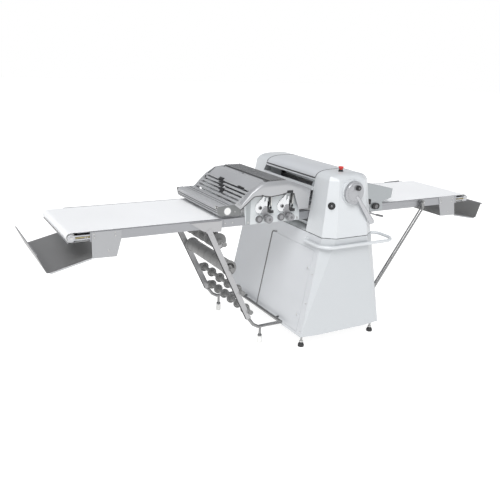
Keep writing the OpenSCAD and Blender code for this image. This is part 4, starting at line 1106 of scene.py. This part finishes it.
def magazine():
    dress(rack_steel, "rack_channels")
    dress(tube_steel, "rack_frame", edge=0)

    run = Vector((CHANNEL_HIGH[0] - CHANNEL_LOW[0], 0, CHANNEL_HIGH[1] - CHANNEL_LOW[1]))
    along = run.normalized()
    inner = Vector((-along.z, 0, along.x))
    strips = Shape(black_plastic, zinc)
    for side_y in (-1, 1):
        a = at(CHANNEL_LOW[0], side_y * (RACK_Y + 0.004), CHANNEL_LOW[1]) + inner * 0.021
        strips.tube([a + run * 0.02, a + run * 0.98], 0.0045, 0, 12)
        for share in (0.06, 0.30, 0.62, 0.94):
            point = at(CHANNEL_LOW[0], side_y * (RACK_Y + 0.008), CHANNEL_LOW[1]) + run * share
            strips.screw(point, Vector((0, side_y, 0)), 0.0055, 1)
    strips.done("channel_strips", MACHINE, "black_plastic")

    feet = Shape(pale_plastic, dark_alloy)
    low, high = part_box("rack_feet")
    radius = (high.x - low.x) / 2
    for y in (low.y + radius, high.y - radius):
        stand = Vector(((low.x + high.x) / 2, y, 0))
        feet.lathe([(0, radius - 0.002), (0.002, radius), (0.050, radius - 0.0015), (0.056, radius - 0.004),
                    (0.058, 0.0105)], stand, UP, 0, 44)
        feet.lathe([(0.0575, 0.0125), (0.0575, 0.0165), (0.068, 0.0165), (0.070, 0.015), (0.070, 0.0105)],
                   stand, UP,
                   1, 28)
    feet.done("rack_feet_moulded", MACHINE, "white_plastic", "rack_feet")

    parked("parked_blade_roller", blades)
    parked("parked_drum", drum)
    parked("parked_disc_cutter_1", discs)
    parked("parked_disc_cutter_2", discs)


def ends(shape, centre):
    """Axle and grips of a parked roller."""
    shape.lathe([(-0.358, 0.007), (-0.356, 0.008), (0.360, 0.008), (0.362, 0.007)], centre, OUT, 1, 28)
    shape.lathe([(0.360, 0.013), (0.362, 0.0175), (0.374, 0.018), (0.3762, 0.0155)], centre, OUT, 0, 48, 8,
                0.002)
    for facing in (OUT, -OUT):
        shape.lathe([(0.3215, 0.012), (0.3215, 0.020), (0.3255, 0.020), (0.3265, 0.018)], centre, facing, 0,
                    36)


def parked(node, fill):
    axis = PIVOT[node + "_spin"]
    centre = Vector((axis.x, 0, axis.z))
    low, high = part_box(node)
    shape = Shape(cutter_plastic, zinc, pale_plastic)
    fill(shape, centre, (high.z - low.z) / 2, node)
    ends(shape, centre)
    shape.done(node + "_detail", node, "parked_grey", node)


def blades(shape, centre, radius, node):
    """Rings joined by slanting blades, as a croissant cutter has."""
    half, count, around = 0.322, 6, 5
    shape.lathe([(-half, 0.020), (half, 0.020)], centre, OUT, 0, 36)
    pitch = (2 * half - 0.09) / (count - 1)
    places = [-half + 0.045 + pitch * k for k in range(count)]
    for y in places:
        shape.lathe([(y - 0.006, 0.021), (y - 0.004, radius - 0.008), (y - 0.0008, radius),
                     (y + 0.0008, radius),
                     (y + 0.004, radius - 0.008), (y + 0.006, 0.021)], centre, OUT, 0, 48)
    for k, y in enumerate(places[:-1]):
        for j in range(around):
            start = 2 * math.pi * (j + 0.5 * (k % 2)) / around
            rings = []
            for step in range(7):
                share = step / 6
                angle = start + share * math.radians(48)
                out = Vector((math.cos(angle), 0, math.sin(angle)))
                turn = Vector((-math.sin(angle), 0, math.cos(angle)))
                place = centre + OUT * (y + 0.003 + (pitch - 0.006) * share)
                rings.append([place + out * r + turn * w for r, w in (
                    (0.019, -0.002), (radius - 0.006, -0.0015), (radius - 0.001, 0.0),
                                                                      (radius - 0.006, 0.0015),
                    (0.019, 0.002))])
            shape.skin(rings, 0)


def drum(shape, centre, radius, node):
    """A hollow-ended drum with end flanges and shallow rings."""
    half = 0.322
    body_r = radius - 0.006
    profile = [(-half + 0.030, 0.022), (-half + 0.030, body_r - 0.012), (-half, body_r - 0.010),
               (-half, radius - 0.001),
               (-half + 0.001, radius), (-half + 0.018, radius), (-half + 0.020, body_r)]
    for k in range(1, 6):
        y = -half + 2 * half * k / 6
        profile += [(y - 0.004, body_r), (y - 0.002, body_r - 0.0025), (y + 0.002, body_r - 0.0025),
                    (y + 0.004, body_r)]
    mirrored = [(-a, r) for a, r in profile[:7]][::-1]
    shape.lathe(profile + mirrored, centre, OUT, 0, 72)
    shape.lathe([(-half + 0.026, 0.023), (half - 0.026, 0.023)], centre, OUT, 0, 36)
    shape.lathe([(-half - 0.001, 0.013), (-half - 0.001, 0.022), (-half + 0.032, 0.022)], centre, OUT, 1, 36)
    shape.lathe([(half - 0.032, 0.022), (half + 0.001, 0.022), (half + 0.001, 0.013)], centre, OUT, 1, 36)


def discs(shape, centre, radius, node):
    """Cup-shaped disc cutters spaced along a core."""
    half = 0.322
    count = 5 if node.endswith("1") else 6
    shape.lathe([(-half, 0.016), (half, 0.016)], centre, OUT, 0, 36)
    pitch = (2 * half - 0.09) / (count - 1)
    for k in range(count):
        y = -half + 0.045 + pitch * k
        shape.lathe([(y - 0.010, 0.0155), (y - 0.010, 0.020), (y - 0.004, 0.021),
                     (y - 0.003, radius - 0.008),
                     (y - 0.006, radius - 0.005), (y - 0.006, radius - 0.001), (y, radius),
                     (y + 0.006, radius - 0.001), (y + 0.006, radius - 0.005), (y + 0.003, radius - 0.008),
                     (y + 0.004, 0.021), (y + 0.010, 0.020), (y + 0.010, 0.0155)], centre, OUT, 0, 56)
        for j in range(4):
            angle = 2 * math.pi * (j + 0.3) / 4
            spot = centre + Vector((math.cos(angle), 0, math.sin(angle))) * ((radius + 0.013) / 2)
            shape.screw(spot + OUT * (y + 0.003), OUT, 0.0032, 1)


studio()
cabinet()
head()
tables()
station()
magazine()
